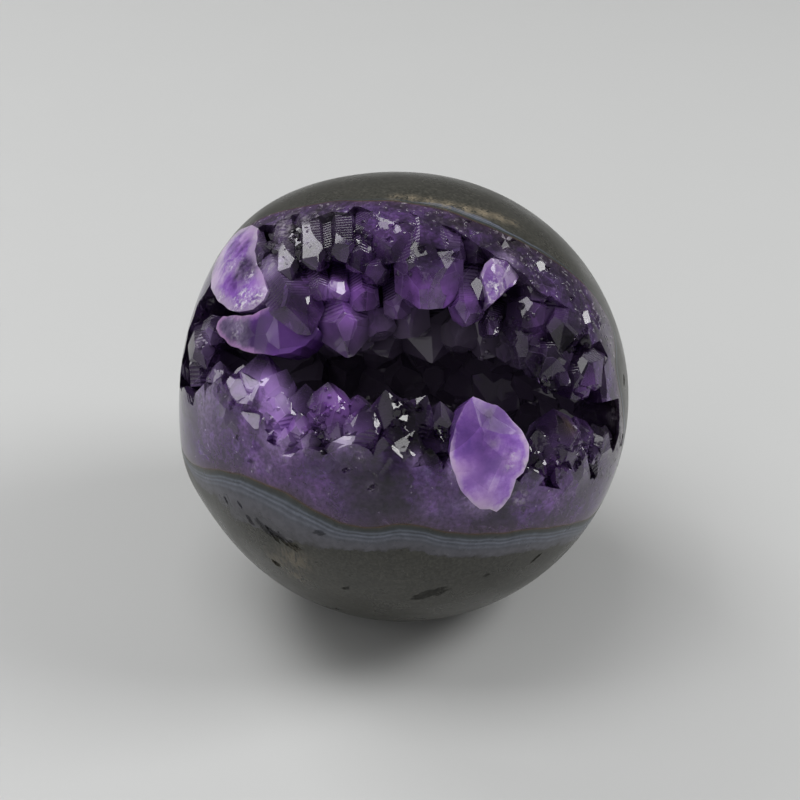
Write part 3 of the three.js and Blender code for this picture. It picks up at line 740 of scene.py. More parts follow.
def cutBody(name, outline, ends, tone, skin):
    bm = bmesh.new()
    ring = [bm.verts.new(Vector(place) * mm) for place in outline]
    face = bm.faces.new(ring)
    middle = sum((vert.co for vert in ring), Vector()) / len(ring)
    inward = -middle.normalized()
    bmesh.ops.subdivide_edges(bm, edges=bm.edges[:], cuts=3)
    for vert in bm.verts:
        vert.co += noise.noise_vector(vert.co / cutForm["waverSize"]) * cutForm["waver"]
        vert.co -= inward * cutForm["stand"]
    bmesh.ops.scale(
        bm, vec=(cutForm["topScale"],) * 3, verts=bm.verts,
        space=Matrix.Translation(inward * cutForm["stand"] - middle))
    walls = bmesh.ops.extrude_face_region(bm, geom=bm.faces[:])["geom"]
    low = [item for item in walls if isinstance(item, bmesh.types.BMVert)]
    bmesh.ops.translate(bm, vec=inward * (cutForm["depth"] + cutForm["stand"]), verts=low)
    bmesh.ops.scale(
        bm, vec=(cutForm["taper"] / cutForm["topScale"],) * 3, verts=low,
        space=Matrix.Translation(-(middle + inward * cutForm["depth"])))
    bmesh.ops.recalc_face_normals(bm, faces=bm.faces)
    for corners in ends:
        first, second, third = (Vector(corner) * mm for corner in corners)
        normal = (second - first).cross(third - first).normalized()
        if normal.dot(inward) > 0:
            normal = -normal
        cut = bmesh.ops.bisect_plane(
            bm, geom=bm.verts[:] + bm.edges[:] + bm.faces[:], dist=1e-7, plane_co=first,
            plane_no=normal, clear_outer=True)
        rim = [item for item in cut["geom_cut"] if isinstance(item, bmesh.types.BMEdge)]
        if rim:
            bmesh.ops.edgeloop_fill(bm, edges=rim)
    bmesh.ops.transform(bm, matrix=mouthFrame, verts=bm.verts)
    bmesh.ops.recalc_face_normals(bm, faces=bm.faces)
    piece = meshObject(name, bm)
    combine(piece, [skin], "INTERSECT")
    shade = piece.data.attributes.new("tone", "FLOAT", "FACE")
    shade.data.foreach_set("value", [tone] * len(piece.data.polygons))
    edge = piece.data.attributes.new("edge", "FLOAT", "POINT")
    toMouth = mouthFrame.inverted()
    corners = [(Vector(here), Vector(outline[i - 1])) for i, here in enumerate(outline)]
    for vert in piece.data.vertices:
        place = toMouth @ vert.co / mm
        near = [geometry.intersect_point_line(place, here, there) for here, there in corners]
        edge.data[vert.index].value = min(
            (place - here.lerp(there, min(1, max(0, share)))).length
            for (here, there), (_, share) in zip(corners, near))
    return piece


skin = copyOf(whole, "skin")
for vert in skin.data.vertices:
    vert.co += (vert.co - ballCentre).normalized() * cutForm["proud"]
cutPieces = [
    cutBody(name, one["outline"], one["ends"], one["tone"], skin)
    for name, one in cutCrystals.items()
]
combine(crust, cutPieces, "DIFFERENCE")
report(f"cut crystals, {[len(piece.data.polygons) for piece in cutPieces]} faces")
pale = cutPieces[0]
pale.name = "paleCrystal"

agate = {
    "reach": 2.4,  # the lines' own scale in mm, and how far a wider band stretches it
    "stretch": 0.42,
    "widths": {  # turn about the mouth in degrees, width in mm
        -180: 1.2, -165: 1.0, -150: 3.5, -138: 6.5, -128: 7.0, -118: 4.6, -105: 3.6, -80: 3.6,
        -60: 3.4, -40: 3.0, -20: 1.6, 0: 0.8, 30: 0.6, 50: 0.9, 62: 1.6, 74: 1.5, 88: 0.6,
        120: 0.35, 150: 0.6, 180: 1.2,
    },
}


def agateWidth(turn):
    place = math.degrees(turn)
    stops = sorted(agate["widths"].items())
    for (low, thin), (high, thick) in zip(stops, stops[1:]):
        if low <= place <= high:
            step = (place - low) / (high - low)
            return thin + (thick - thin) * step * step * (3 - 2 * step)
    return stops[0][1]


# parts that look different, each with its centre in the mouth's frame, reach in mm and strength
patches = {
    "milk": [
        ((-8.0, 8.1, 30.5), 1.6, 0.2),
        ((1.6, 6.8, 32.5), 1.1, 0.35),
        ((4.7, 6.3, 32.4), 1.1, 0.35),
        ((-0.1, 8.7, 32.2), 1.1, 0.3),
        ((9.1, 5.3, 30.1), 1.2, 0.3),
        ((10.3, -17.3, 30.9), 2, 0.3),
        ((-20.1, -3.1, 27.8), 1.6, 0.35),
        ((-17.9, -6.6, 29.0), 1.6, 0.3),
        ((-20.9, 0.4, 29.3), 1.0, 0.6),
        ((-17.7, 0.9, 30.4), 1.0, 0.5),
        ((-15.2, -12.7, 29.0), 2.4, 0.25),
        ((15.5, 15.0, 28.8), 1.6, 0.4),
        ((-24.5, 21.5, 17.3), 2.0, 0.6),
        ((-21.9, 11.6, 26.3), 1.0, 0.3),
        ((-28.8, 21.2, 10.7), 2.2, 0.6),
        ((-29.6, 15.4, 15.1), 1.6, 0.5),
        ((7.8, -17.3, 30.6), 1.5, 0.7),
        ((11.4, -21.1, 26.9), 2.4, 0.6),
        ((15.2, -15.8, 28.6), 1.6, 0.5),
        ((9.5, -8.3, 33.7), 1.2, 0.3),
        ((-29.5, 4.9, 20.2), 1.4, 0.4),
        ((14, 13, 30), 1.8, 0.3),
        ((-23, -4, 27), 2.6, 0.4),
        ((-18, -6, 30), 2.6, 0.35),
        ((-19, -12, 28), 1.8, 0.35),
        ((-9, -13, 32), 2.4, 0.35),
        ((-20, -12, 28), 6, 0.16),
        ((-29, -8, 19), 6, 0.14),
        ((2, -16, 32), 1.6, 0.4),
        ((-11, 10, 29), 1.6, 0.35),
        ((-31, 6, 17), 2.5, 0.4),
        ((-30, 2, 19), 2.5, 0.4),
        ((-30, -4, 19), 4, 0.25),
        ((4, -23, 27), 4, 0.1),
        ((-20, 14, 26), 2.2, 0.5),
        ((22, -12, 24), 2, 0.2),
    ],
    # painted light: brighter, vivid violet where light shines through the crystals
    "glow": [
        ((-8.0, 8.1, 30.5), 2.2, 0.4),
        ((9.1, 5.5, 30.1), 1.6, 1.5),
        ((-11.6, -0.2, 29.2), 3, 0.35),
        ((-7.9, 7.8, 30.6), 2.5, 0.35),
        ((12.1, 4.3, 29.0), 1.2, 1.2),
        ((-10.8, -6.8, 31.1), 2.2, 0.5),
        ((-15.2, -12.7, 29.0), 3, 0.7),
        ((-23.1, 10.7, 25.6), 1.8, 1.2),
        ((-17.5, 4.4, 30.2), 3, 0.9),
        ((3.8, 8.1, 33.1), 3.5, 0.6),
        ((-0.1, 9.5, 33.4), 1.8, 0.9),
        ((2.3, 6.7, 33.4), 2.0, 1),
        ((5.5, 6.2, 33.2), 2.0, 0.9),
        ((9.1, 5.1, 31.7), 3, 1.3),
        ((12.1, 4.0, 29.9), 1.4, 0.9),
        ((-8.0, 8.4, 29.6), 4, 0.6),
        ((-23.9, 10.9, 24.7), 2.4, 1),
        ((9.9, -17.2, 30.0), 2.2, 0.8),
        ((-15.2, 1.0, 31.7), 1.6, 0.8),
        ((28.0, -2.7, 21.6), 2.6, 0.1),
        ((-8, 9, 27), 5, 0.6),
        ((-16, 11, 26), 3.5, 0.4),
        ((3, 10, 31), 4, 0.5),
        ((-2, 19, 29), 4, 0.3),
        ((9, 6, 30), 2.6, 1),
        ((12, 4, 29), 2.2, 1),
        ((28, -2, 21), 3.5, 0.35),
        ((-20, -7, 27), 4.5, 0.9),
        ((-9, -7, 30), 3.5, 0.8),
        ((-24, -5, 25), 3.5, 0.7),
        ((-12, -20, 27), 5.5, 0.6),
        ((7, -22, 28), 4, 0.4),
        ((20, 6, 26), 3, 0.5),
        ((-4, 5, 26), 5, 0.4),
        ((-16, 4, 25), 4, 0.6),
        ((23, -14, 21), 3, 0.4),
        ((-18, -11, 29), 4, 0.6),
        ((2, 17, 30), 4, 0.15),
        ((-5, 20, 28), 3, 0.15),
        ((21, -20, 21), 5, 0.3),
        ((-24, -14, 22), 5, 0.4),
    ],
    "grit": [
        ((33.3, 4.7, 12.8), 3, 1),
        ((33.8, -3.0, 11.9), 3, 1),
        ((33.4, -10.3, 8.6), 3, 1),
        ((24, 17, 21), 6, 0.6),
        ((29, 10, 19), 5, 0.7),
        ((16, 18, 27), 4.5, 0.9),
        ((8, 22, 28), 4.5, 0.8),
        ((-1, 23, 28), 4, 0.6),
        ((32, 4, 16), 4, 0.9),
        ((32, -7, 15), 4, 0.8),
        ((-18, 21, 24), 5, 1),
        ((-24, 22, 18), 3.5, 0.8),
        ((31, -15, 11), 4, 0.6),
        ((19, 10, 29), 3, 0.6),
        ((-11, 24, 25), 4, 0.7),
    ],
    "tan": [
        ((24.6, -9.0, 22.7), 1.6, 0.7),
        ((22.0, -17.4, 22.6), 0.4, 0.9),
        ((-1.2, 25.6, 25.3), 1, 0.7),
        ((1.2, 25.4, 25.5), 1, 0.8),
        ((3.9, 24.9, 25.7), 1, 0.9),
        ((6.7, 24.2, 25.8), 1.1, 1),
        ((9.4, 23.7, 25.4), 1.1, 1),
        ((12.1, 23.3, 24.6), 1.2, 1),
        ((14.6, 22.8, 23.7), 1.1, 0.9),
        ((16.8, 22.3, 22.7), 0.9, 0.6),
        ((-16.5, -28.3, 14.8), 2.4, 0.5),
        ((-16.5, -30.1, 10.7), 1.6, 0.4),
        ((-19.6, -27.9, 11.6), 1.6, 0.35),
    ],
    "scratched": [
        ((-16.4, -27.9, 15.8), 3, 1),
        ((10.1, 25.9, 22.8), 8, 1),
        ((-6.7, 27.2, 22.8), 6, 0.7),
        ((23.8, 16.5, 21.3), 4, 0.8),
        ((-0.6, -31.6, 17.1), 6, 0.4),
        ((21.2, -28.6, 5.0), 6, 0.4),
    ],
    "dark": [
        ((21.6, -11.7, 24.3), 3, 0.7),
        ((-29.3, -8.0, 19.3), 3, 0.25),
        ((-23.3, -3.8, 26.3), 1.2, 0.5),
        ((-20.9, -1.6, 28.3), 1.2, 0.4),
        ((3.1, 12.9, 30.9), 2.4, 0.5),
        ((3.1, 2.8, 24.2), 3, 0.5),
        ((21.3, 16.4, 23.9), 4, 0.55),
        ((24.3, 12.3, 23.5), 4, 0.5),
        ((17.5, 19.3, 24.8), 3.5, 0.5),
        ((11.4, 21.3, 26.7), 3, 0.4),
        ((-16.7, -14.6, 28.1), 3, 0.45),
        ((-15.2, -17.9, 27.3), 3, 0.3),
        ((-9.3, -17.2, 30.2), 2, 0.5),
        ((-20.9, -12.1, 26.5), 2, 0.35),
        ((-1.8, 4.2, 28.1), 3, 0.3),
        ((-17.5, 6.5, 29.9), 1.8, 0.8),
        ((12.4, 12.8, 31.3), 0.8, 0.6),
        ((-12.3, 5.0, 30.7), 4, 0.45),
        ((-4.7, 3.7, 29.8), 4.5, 0.5),
        ((-1.3, 7.9, 31.4), 2.5, 0.4),
        ((3.9, 4.1, 22.2), 4, 0.7),
        ((3.1, 14.6, 31.9), 3, 0.6),
        ((-15.3, 8.2, 30.2), 2, 0.6),
        ((23.4, 4.3, 24.4), 4, 0.3),
        ((-24.4, 16.5, 21.3), 1.2, 0.9),
        ((-23.0, 14.2, 24.1), 1.2, 0.9),
        ((-25.3, 14.2, 21.8), 1.0, 0.6),
        ((-23.8, 15.2, 22.7), 1.5, 1),
        ((12.7, -9.4, 32.3), 1.8, 0.9),
        ((12.2, -13.3, 31.2), 2.0, 0.65),
        ((-26.1, 4.3, 24.5), 1.2, 0.3),
        ((-17.9, 2.7, 31.1), 2.2, 0.7),
        ((-22.9, 5.1, 27.3), 1.4, 0.4),
        ((3.5, 15.4, 32.4), 3.4, 0.5),
        ((-1.8, 17.6, 30.5), 3.2, 0.3),
        ((-10.3, 16.9, 29.3), 4, 0.6),
        ((18.7, 1.4, 27.0), 5, 0.5),
        ((-0.6, -9.8, 33.6), 4, 0.7),
        ((3.7, -10.4, 33.2), 4, 0.6),
        ((22.0, -9.7, 25.8), 3, 0.5),
        ((-24.3, 14.4, 22.7), 2, 1),
        ((9.8, 1.4, 26.9), 6, 0.4),
        ((-4.7, -22.4, 27.8), 4, 0.8),
        ((11.9, -23.7, 24.4), 3, 0.5),
        ((-2.7, -18.8, 30.6), 3, 0.6),
        ((18.9, -24.3, 18.7), 3, 0.4),
        ((-31.7, 9.9, 14.6), 3, 0.9),
        ((23.2, -16.5, 22.0), 2.5, 0.5),
        ((-26.9, -12.5, 20.5), 2, 0.4),
    ],
    "rind": [
        ((-31.2, 2.0, 18.0), 2.2, 0.8),
        ((-32.9, 5.3, 13.9), 2, 0.8),
        ((-30.0, -3.4, 19.6), 1.4, 0.3),
        ((-33.5, 0.7, 13.3), 1.6, 0.6),
        ((33.9, 9.2, 7.8), 2.6, 1),
        ((34.0, 1.8, 11.8), 2.6, 1),
        ((34.3, -4.2, 10.0), 2.6, 1),
        ((34.6, -9.3, 3.4), 2.8, 1),
        ((32.9, -14.5, 1.1), 2.6, 0.6),
        ((32.0, 13.7, 9.2), 2.2, 0.7),
        ((30.8, -8.7, 16.5), 1.6, 0.5),
        ((30.4, 0.1, 19.3), 1.6, 0.4),
    ],
    "broken": [  # glassy facets where the polish didn't reach
        ((-31.1, -2.0, 18.1), 4, 0.6),
        ((-27.2, -1.6, 23.5), 4, 0.8),
        ((-23.5, -5.4, 26.7), 4, 1),
        ((-19.6, -6.7, 29.4), 4, 1),
        ((-21.9, -9.9, 26.8), 4, 0.8),
        ((-17.3, -11.2, 29.5), 4, 0.9),
        ((-13.6, -12.9, 30.7), 3.5, 0.9),
        ((-9.2, -13.2, 32.2), 3.5, 0.9),
        ((-25.9, -7.1, 24.0), 3.5, 0.7),
        ((28.1, -12.2, 19.0), 5, 1),
        ((25.6, -15.4, 20.0), 4, 0.8),
        ((23.3, -17.2, 21.4), 3, 0.5),
        ((30.6, -8.7, 16.8), 4, 1),
        ((5.3, 15.3, 32.1), 4, 0.8),
        ((0.9, 18.8, 30.7), 4, 0.8),
        ((-3.6, 19.8, 29.8), 3.5, 0.7),
        ((9.8, 18.4, 29.3), 4, 0.6),
        ((16.0, 19.5, 25.7), 3, 0.4),
        ((32.0, 4.0, 15.9), 4, 0.6),
        ((30.1, 8.3, 18.0), 3, 0.5),
        ((21.2, 13.2, 26.0), 4, 0.5),
        ((25.8, 9.2, 23.3), 4, 0.5),
        ((-4.9, -14.7, 32.5), 3, 0.5),
    ],
    # white specks and chips, and a painted highlight along the lilac crystal's ridge
    "whiteAndPaintedHighlight": [
        # these rows paint a highlight line along the lilac crystal's ridge
        ((7.0, -13.7, 33.6), 0.7, 0.5),
        ((8.3, -12.7, 34.3), 0.7, 0.5),
        ((9.6, -11.8, 34.7), 0.7, 0.6),
        ((10.9, -11.0, 34.7), 0.7, 0.6),
        ((12.5, -11.2, 33.9), 0.7, 0.5),
        ((14.1, -11.4, 32.7), 0.7, 0.5),
        ((15.8, -11.5, 31.2), 0.7, 0.4),
        ((15.9, -14.8, 29.2), 0.8, 0.6),
        ((15.5, -16.3, 28.3), 0.7, 0.6),
        ((-25.1, 16.9, 20.1), 1.4, 0.4),
        ((-14.7, -13.6, 29.9), 0.8, 0.5),
        ((-12.7, -13.1, 31.0), 0.8, 0.5),
        ((-10.7, -12.5, 31.7), 0.8, 0.5),
        ((-8.5, -13.2, 32.4), 0.8, 0.4),
        ((-17.7, -14.8, 27.6), 0.7, 0.5),
        ((-19.7, -16.4, 25.3), 0.6, 0.4),
        ((-6.3, -15.3, 31.9), 0.7, 0.5),
        ((-15.7, -11.8, 30.2), 0.7, 0.5),
        ((-22.1, -15.5, 23.8), 0.6, 0.4),
        ((-4.6, -19.7, 29.8), 0.6, 0.6),
        ((-25.9, -5.6, 24.4), 0.6, 0.4),
        ((-23.7, -9.3, 25.5), 0.6, 0.4),
        ((13.4, 9.1, 31.3), 1.6, 0.8),
        ((15.0, 14.2, 29.5), 1.2, 0.5),
        ((13.7, 10.3, 30.8), 1.4, 0.8),
        ((-23.2, 13.5, 24.2), 0.8, 0.9),
        ((-26.4, 16.2, 19.2), 0.8, 0.7),
        ((-24.9, 8.8, 24.5), 1.4, 0.8),
        ((-27.8, 11.1, 20.4), 1.2, 0.7),
        ((-21.7, 9.0, 27.3), 1.2, 0.7),
        ((-29.2, 5.5, 20.0), 1.5, 0.9),
        ((-18.1, 20.8, 22.9), 3.2, 0.5),
        ((-20.0, 14.2, 25.7), 1.2, 0.8),
        ((-25.7, 25.8, 10.1), 1.6, 0.4),
        ((-24.6, 9.2, 24.7), 1.8, 1),
        ((-21.8, 9.5, 27.1), 1.3, 0.8),
        ((-23.6, 10.8, 25.1), 1.4, 0.4),
        ((-27.3, 17.8, 16.9), 2, 0.35),
        ((-19.4, 2.4, 30.2), 0.9, 0.5),
        ((-24.8, 4.4, 25.8), 1.2, 0.4),
        ((17.1, -20.4, 24.2), 1.5, 0.5),
        ((18.2, -15.5, 26.9), 1.2, 0.6),
    ],
}


paintStep = 1.3 * mm  # longest edge on the crystals, so that the painted parts show on them


crumbFaces = 40


def dropCrumbs(bm):  # the slivers that cutting left loose
    left = set(bm.faces)
    crumbs = []
    while left:
        part, waiting = [], [left.pop()]
        while waiting:
            face = waiting.pop()
            part.append(face)
            for other in {one for edge in face.edges for one in edge.link_faces} & left:
                left.remove(other)
                waiting.append(other)
        if len(part) < crumbFaces:
            crumbs += part
    bmesh.ops.delete(bm, geom=crumbs, context="FACES")


def finishSkin(piece, wallSurface):
    bm = bmesh.new()
    bm.from_mesh(piece.data)
    dropCrumbs(bm)
    for _ in range(2):
        bmesh.ops.triangulate(bm, faces=[face for face in bm.faces if len(face.verts) > 4])
        bmesh.ops.subdivide_edges(
            bm, edges=[edge for edge in bm.edges if edge.calc_length() > paintStep], cuts=1,
            use_grid_fill=True)
    bmesh.ops.triangulate(bm, faces=[face for face in bm.faces if len(face.verts) > 4])
    polished = bm.faces.layers.float.new("polished")
    for face in bm.faces:
        onSkin = all(
            abs((vert.co - ballCentre).length - ballReach((vert.co - ballCentre).normalized()))
            < 0.2 * mm for vert in face.verts)
        outward = face.normal.dot((face.calc_center_median() - ballCentre).normalized()) > 0.97
        face[polished] = 1.0 if onSkin and outward else 0.0
        face.smooth = onSkin and outward
    for edge in bm.edges:
        sides = [face.smooth for face in edge.link_faces]
        edge.smooth = len(sides) == 2 and all(sides)
    wall = BVHTree.FromBMesh(wallSurface)
    depth = bm.verts.layers.float.new("wallDepth")
    share = bm.verts.layers.float.new("agateShare")
    band = bm.verts.layers.float.new("bandPlace")
    sunk = bm.verts.layers.float.new("sunk")
    painted = {name: bm.verts.layers.float.new(name) for name in patches}
    toMouth = mouthFrame.inverted()
    for vert in bm.verts:
        vert[depth] = wall.find_nearest(vert.co)[3] / mm
        place = toMouth @ vert.co / mm
        width = agateWidth(math.atan2(place.y, place.x))
        vert[share] = vert[depth] / width
        vert[band] = vert[depth] / (agate["reach"] + agate["stretch"] * width)
        direction = vert.co - ballCentre
        vert[sunk] = (ballReach(direction.normalized()) - direction.length) / mm
        for name, layer in painted.items():
            vert[layer] = min(1, sum(
                strength * math.exp(-((place - Vector(centre)).length / reach) ** 2)
                for centre, reach, strength in patches[name]))
    bm.to_mesh(piece.data)
    bm.free()


wallSurface = bmesh.new()
wallSurface.from_mesh(hollow.data)
for piece in [stone, crust] + cutPieces:
    finishSkin(piece, wallSurface)
wallSurface.free()
report("skins finished")


def addNode(tree, kind, inputs=None, **settings):
    node = tree.nodes.new(kind)
    for key, value in settings.items():
        setattr(node, key, value)
    for key, value in (inputs or {}).items():
        if isinstance(value, bpy.types.NodeSocket):
            tree.links.new(value, node.inputs[key])
        else:
            node.inputs[key].default_value = value
    return node


def ramp(tree, factor, stops, interpolation="LINEAR"):
    node = addNode(tree, "ShaderNodeValToRGB", {"Fac": factor})
    node.color_ramp.interpolation = interpolation
    bands = node.color_ramp.elements
    while len(bands) < len(stops):
        bands.new(0.5)
    for band, (position, colour) in zip(bands, stops):
        band.position = position
        band.color = (*colour, 1) if len(colour) == 3 else colour
    return node.outputs["Color"]


def calculate(tree, operation, first, second=0.0, third=0.0, clamp=False):
    node = addNode(
        tree, "ShaderNodeMath", {0: first, 1: second, 2: third}, operation=operation,
        use_clamp=clamp)
    return node.outputs[0]


def spread(tree, value, low, high, fromLow=0.0, fromHigh=1.0):
    node = addNode(tree, "ShaderNodeMapRange", {
        0: value, 1: fromLow, 2: fromHigh, 3: low, 4: high}, clamp=True)
    return node.outputs[0]


def blend(tree, factor, first, second, mode="MIX"):
    node = addNode(tree, "ShaderNodeMix", data_type="RGBA", blend_type=mode)
    for socket, value in zip((node.inputs[0], node.inputs[6], node.inputs[7]), (factor, first, second)):
        if isinstance(value, bpy.types.NodeSocket):
            tree.links.new(value, socket)
        else:
            socket.default_value = value if isinstance(value, float) else (*value, 1)
    return node.outputs[2]


def freshMaterial(name):
    material = bpy.data.materials.new(name)
    material.use_nodes = True
    tree = material.node_tree
    return material, tree, tree.nodes["Principled BSDF"]


def attribute(tree, name):
    return addNode(tree, "ShaderNodeAttribute", attribute_name=name).outputs["Fac"]


def grain(tree, place, scale, detail=2.0, rough=0.5, stretch=None, turn=(0, 0, 0)):
    if stretch:
        place = addNode(tree, "ShaderNodeMapping", {
            "Vector": place, "Rotation": turn, "Scale": stretch}).outputs["Vector"]
    node = addNode(tree, "ShaderNodeTexNoise", {
        "Vector": place, "Scale": scale, "Detail": detail, "Roughness": rough})
    return node.outputs["Fac"]


def bump(tree, height, strength, distance, normal=None):
    node = addNode(tree, "ShaderNodeBump", {
        "Height": height, "Strength": strength, "Distance": distance})
    if normal:
        tree.links.new(normal, node.inputs["Normal"])
    return node.outputs["Normal"]


stoneLook = {
    "basaltDark": (0.022, 0.022, 0.018),
    "basalt": (0.05, 0.049, 0.041),
    "basaltFleck": (0.1, 0.098, 0.085),
    "agateLines": [  # place on the ramp from the amethyst out, colour
        (0.0, (0.085, 0.055, 0.036)), (0.025, (0.08, 0.052, 0.034)), (0.05, (0.05, 0.048, 0.04)),
        (0.14, (0.04, 0.046, 0.047)), (0.2, (0.055, 0.063, 0.073)), (0.25, (0.125, 0.14, 0.175)),
        (0.31, (0.062, 0.068, 0.085)), (0.37, (0.155, 0.17, 0.215)), (0.43, (0.078, 0.084, 0.106)),
        (0.51, (0.13, 0.138, 0.172)), (0.58, (0.085, 0.088, 0.107)), (0.68, (0.1, 0.1, 0.12)),
        (0.85, (0.094, 0.092, 0.108)), (1.0, (0.078, 0.077, 0.088)),
    ],
    "seam": (0.022, 0.02, 0.015),
    "tan": (0.24, 0.2, 0.14),
    "scratch": (0.12, 0.115, 0.095),
    "underCrystals": (0.6, 0.55, 0.65),
    "roughness": 0.28,
    "specular": 0.32,
}


def chips(tree, cells, along, strength, normal=None):  # each cell's face leans its own way
    lean = addNode(tree, "ShaderNodeVectorMath", {
        0: cells.outputs["Color"], 1: (0.5, 0.5, 0.5)}, operation="SUBTRACT").outputs[0]
    across = addNode(tree, "ShaderNodeVectorMath", {
        0: along, 1: cells.outputs["Position"]}, operation="SUBTRACT").outputs[0]
    height = addNode(tree, "ShaderNodeVectorMath", {
        0: across, 1: lean}, operation="DOT_PRODUCT").outputs["Value"]
    return bump(tree, calculate(tree, "MULTIPLY", height, strength), 1.0, 1.0, normal)


def stoneMaterial():
    material, tree, skin = freshMaterial("polishedBasalt")
    spot = addNode(tree, "ShaderNodeTexCoord").outputs["Object"]
    polished = attribute(tree, "polished")
    waver = calculate(tree, "SUBTRACT", grain(tree, spot, 420.0, 3.0), 0.5)
    place = calculate(tree, "MULTIPLY_ADD", waver, 0.06, attribute(tree, "bandPlace"))
    share = calculate(tree, "MULTIPLY_ADD", calculate(
        tree, "SUBTRACT", grain(tree, spot, 420.0, 5.0, 0.65), 0.5), 0.5,
        attribute(tree, "agateShare"))
    agateColour = ramp(tree, place, stoneLook["agateLines"])
    dusty = spread(tree, grain(tree, spot, 900.0, 4.0, 0.6), 0.82, 1.12, 0.35, 0.65)
    agateColour = blend(tree, 1.0, agateColour, dusty, "MULTIPLY")
    agateColour = blend(tree, calculate(tree, "MULTIPLY", spread(
        tree, share, 0, 0.8, 0.86, 1.0), spread(
        tree, grain(tree, spot, 700.0, 4.0), 0, 1, 0.4, 0.6)), agateColour, stoneLook["seam"])
    mottled = blend(
        tree, spread(tree, grain(tree, spot, 90.0, 7.0, 0.65), 0, 1, 0.3, 0.7),
        stoneLook["basaltDark"], stoneLook["basalt"])
    flecks = ramp(tree, grain(tree, spot, 2200.0), [
        (0.35, stoneLook["basaltDark"]), (0.5, stoneLook["basalt"]),
        (0.7, stoneLook["basaltFleck"])])
    basalt = blend(tree, 0.4, mottled, flecks)
    strokes = grain(tree, spot, 1.0, 2.0, 0.5, (2600, 2600, 45), (0, 0.06, 0))
    arcs = grain(tree, spot, 1.0, 2.0, 0.5, (60, 2400, 2400), (0.4, 0.5, 0.2))
    marks = calculate(
        tree, "MAXIMUM", spread(tree, strokes, 0, 1, 0.6, 0.72), spread(tree, arcs, 0, 1, 0.64, 0.74))
    worn = calculate(
        tree, "MULTIPLY_ADD", attribute(tree, "scratched"), 0.6, 0.14, clamp=True)
    basalt = blend(tree, calculate(tree, "MULTIPLY", marks, worn), basalt, stoneLook["scratch"])
    outside = calculate(tree, "GREATER_THAN", share, 1.0)
    shown = blend(tree, outside, agateColour, basalt)
    rusty = calculate(tree, "MULTIPLY", attribute(tree, "tan"), spread(tree, calculate(
        tree, "ADD", grain(tree, spot, 480.0, 5.0, 0.65), strokes), 0, 1, 0.84, 1.04))
    shown = blend(tree, rusty, shown, stoneLook["tan"])
    wall = calculate(tree, "MULTIPLY", calculate(tree, "SUBTRACT", 1.0, polished), calculate(
        tree, "LESS_THAN", attribute(tree, "wallDepth"), 0.08))
    shown = blend(tree, wall, shown, stoneLook["underCrystals"])
    tree.links.new(shown, skin.inputs["Base Color"])
    rough = spread(
        tree, grain(tree, spot, 160.0, 4.0), stoneLook["roughness"] - 0.05,
        stoneLook["roughness"] + 0.07, 0.3, 0.7)
    rough = calculate(tree, "MULTIPLY_ADD", rusty, 0.25, rough)
    tree.links.new(addNode(tree, "ShaderNodeMix", {
        0: polished, 2: 0.8, 3: rough}, data_type="FLOAT").outputs[0], skin.inputs["Roughness"])
    skin.inputs["Specular IOR Level"].default_value = stoneLook["specular"]
    normal = bump(tree, grain(tree, spot, 1800.0), 0.08, 0.0002)
    normal = bump(tree, calculate(tree, "MULTIPLY", marks, worn), 0.25, 0.00005, normal)
    tree.links.new(bump(tree, calculate(
        tree, "MULTIPLY", rusty, grain(tree, spot, 900.0, 4.0)), 0.5, 0.0003, normal),
        skin.inputs["Normal"])
    return material


amethystLook = {
    "absorbColour": (0.62, 0.3, 0.78),
    "absorbDensity": 110.0,
    "clear": (0.84, 0.72, 0.93),
    "smoky": (0.5, 0.43, 0.58),
    "deep": (0.085, 0.054, 0.13),
    "violet": (0.135, 0.068, 0.23),
    # painted light: the colour laid on where the glow patches lie
    "vivid": (0.32, 0.13, 0.54),
    "blueGrey": (0.13, 0.12, 0.22),
    "mauve": (0.085, 0.045, 0.1),  # next to the agate
    "rust": (0.1, 0.058, 0.046),
    "shade": (0.022, 0.015, 0.03),
    "olive": (0.2, 0.16, 0.07),
    "whiteAndPaintedHighlight": (0.55, 0.5, 0.58),
    # painted light: a lighter grey-violet that lifts the bottom of the hollow, where little light reaches
    "hollowPaintedFill": (0.13, 0.11, 0.15),  # the bottom of the hollow
    "rind": (0.075, 0.062, 0.06),
    "milky": (0.42, 0.3, 0.58),
    "speck": (0.5, 0.42, 0.6),
    "sliced": [  # the massive part under the polish: cloud value, colour
        (0.4, (0.022, 0.013, 0.036)), (0.455, (0.05, 0.027, 0.088)), (0.5, (0.085, 0.042, 0.15)),
        (0.54, (0.13, 0.055, 0.25)), (0.58, (0.15, 0.085, 0.28)), (0.65, (0.25, 0.18, 0.42)),
    ],
    "grit": [
        (0.0, (0.02, 0.015, 0.02)), (0.55, (0.05, 0.037, 0.05)), (0.85, (0.09, 0.07, 0.09)),
        (0.95, (0.2, 0.17, 0.21)), (1.0, (0.6, 0.55, 0.62)),
    ],
    "specks": [(1500.0, 0.05, 0.26), (520.0, 0.03, 0.13)],  # size, how many, edge
    "polishedRoughness": 0.13,
    "crystalRoughness": 0.03,
    "sideRoughness": 0.15,
}


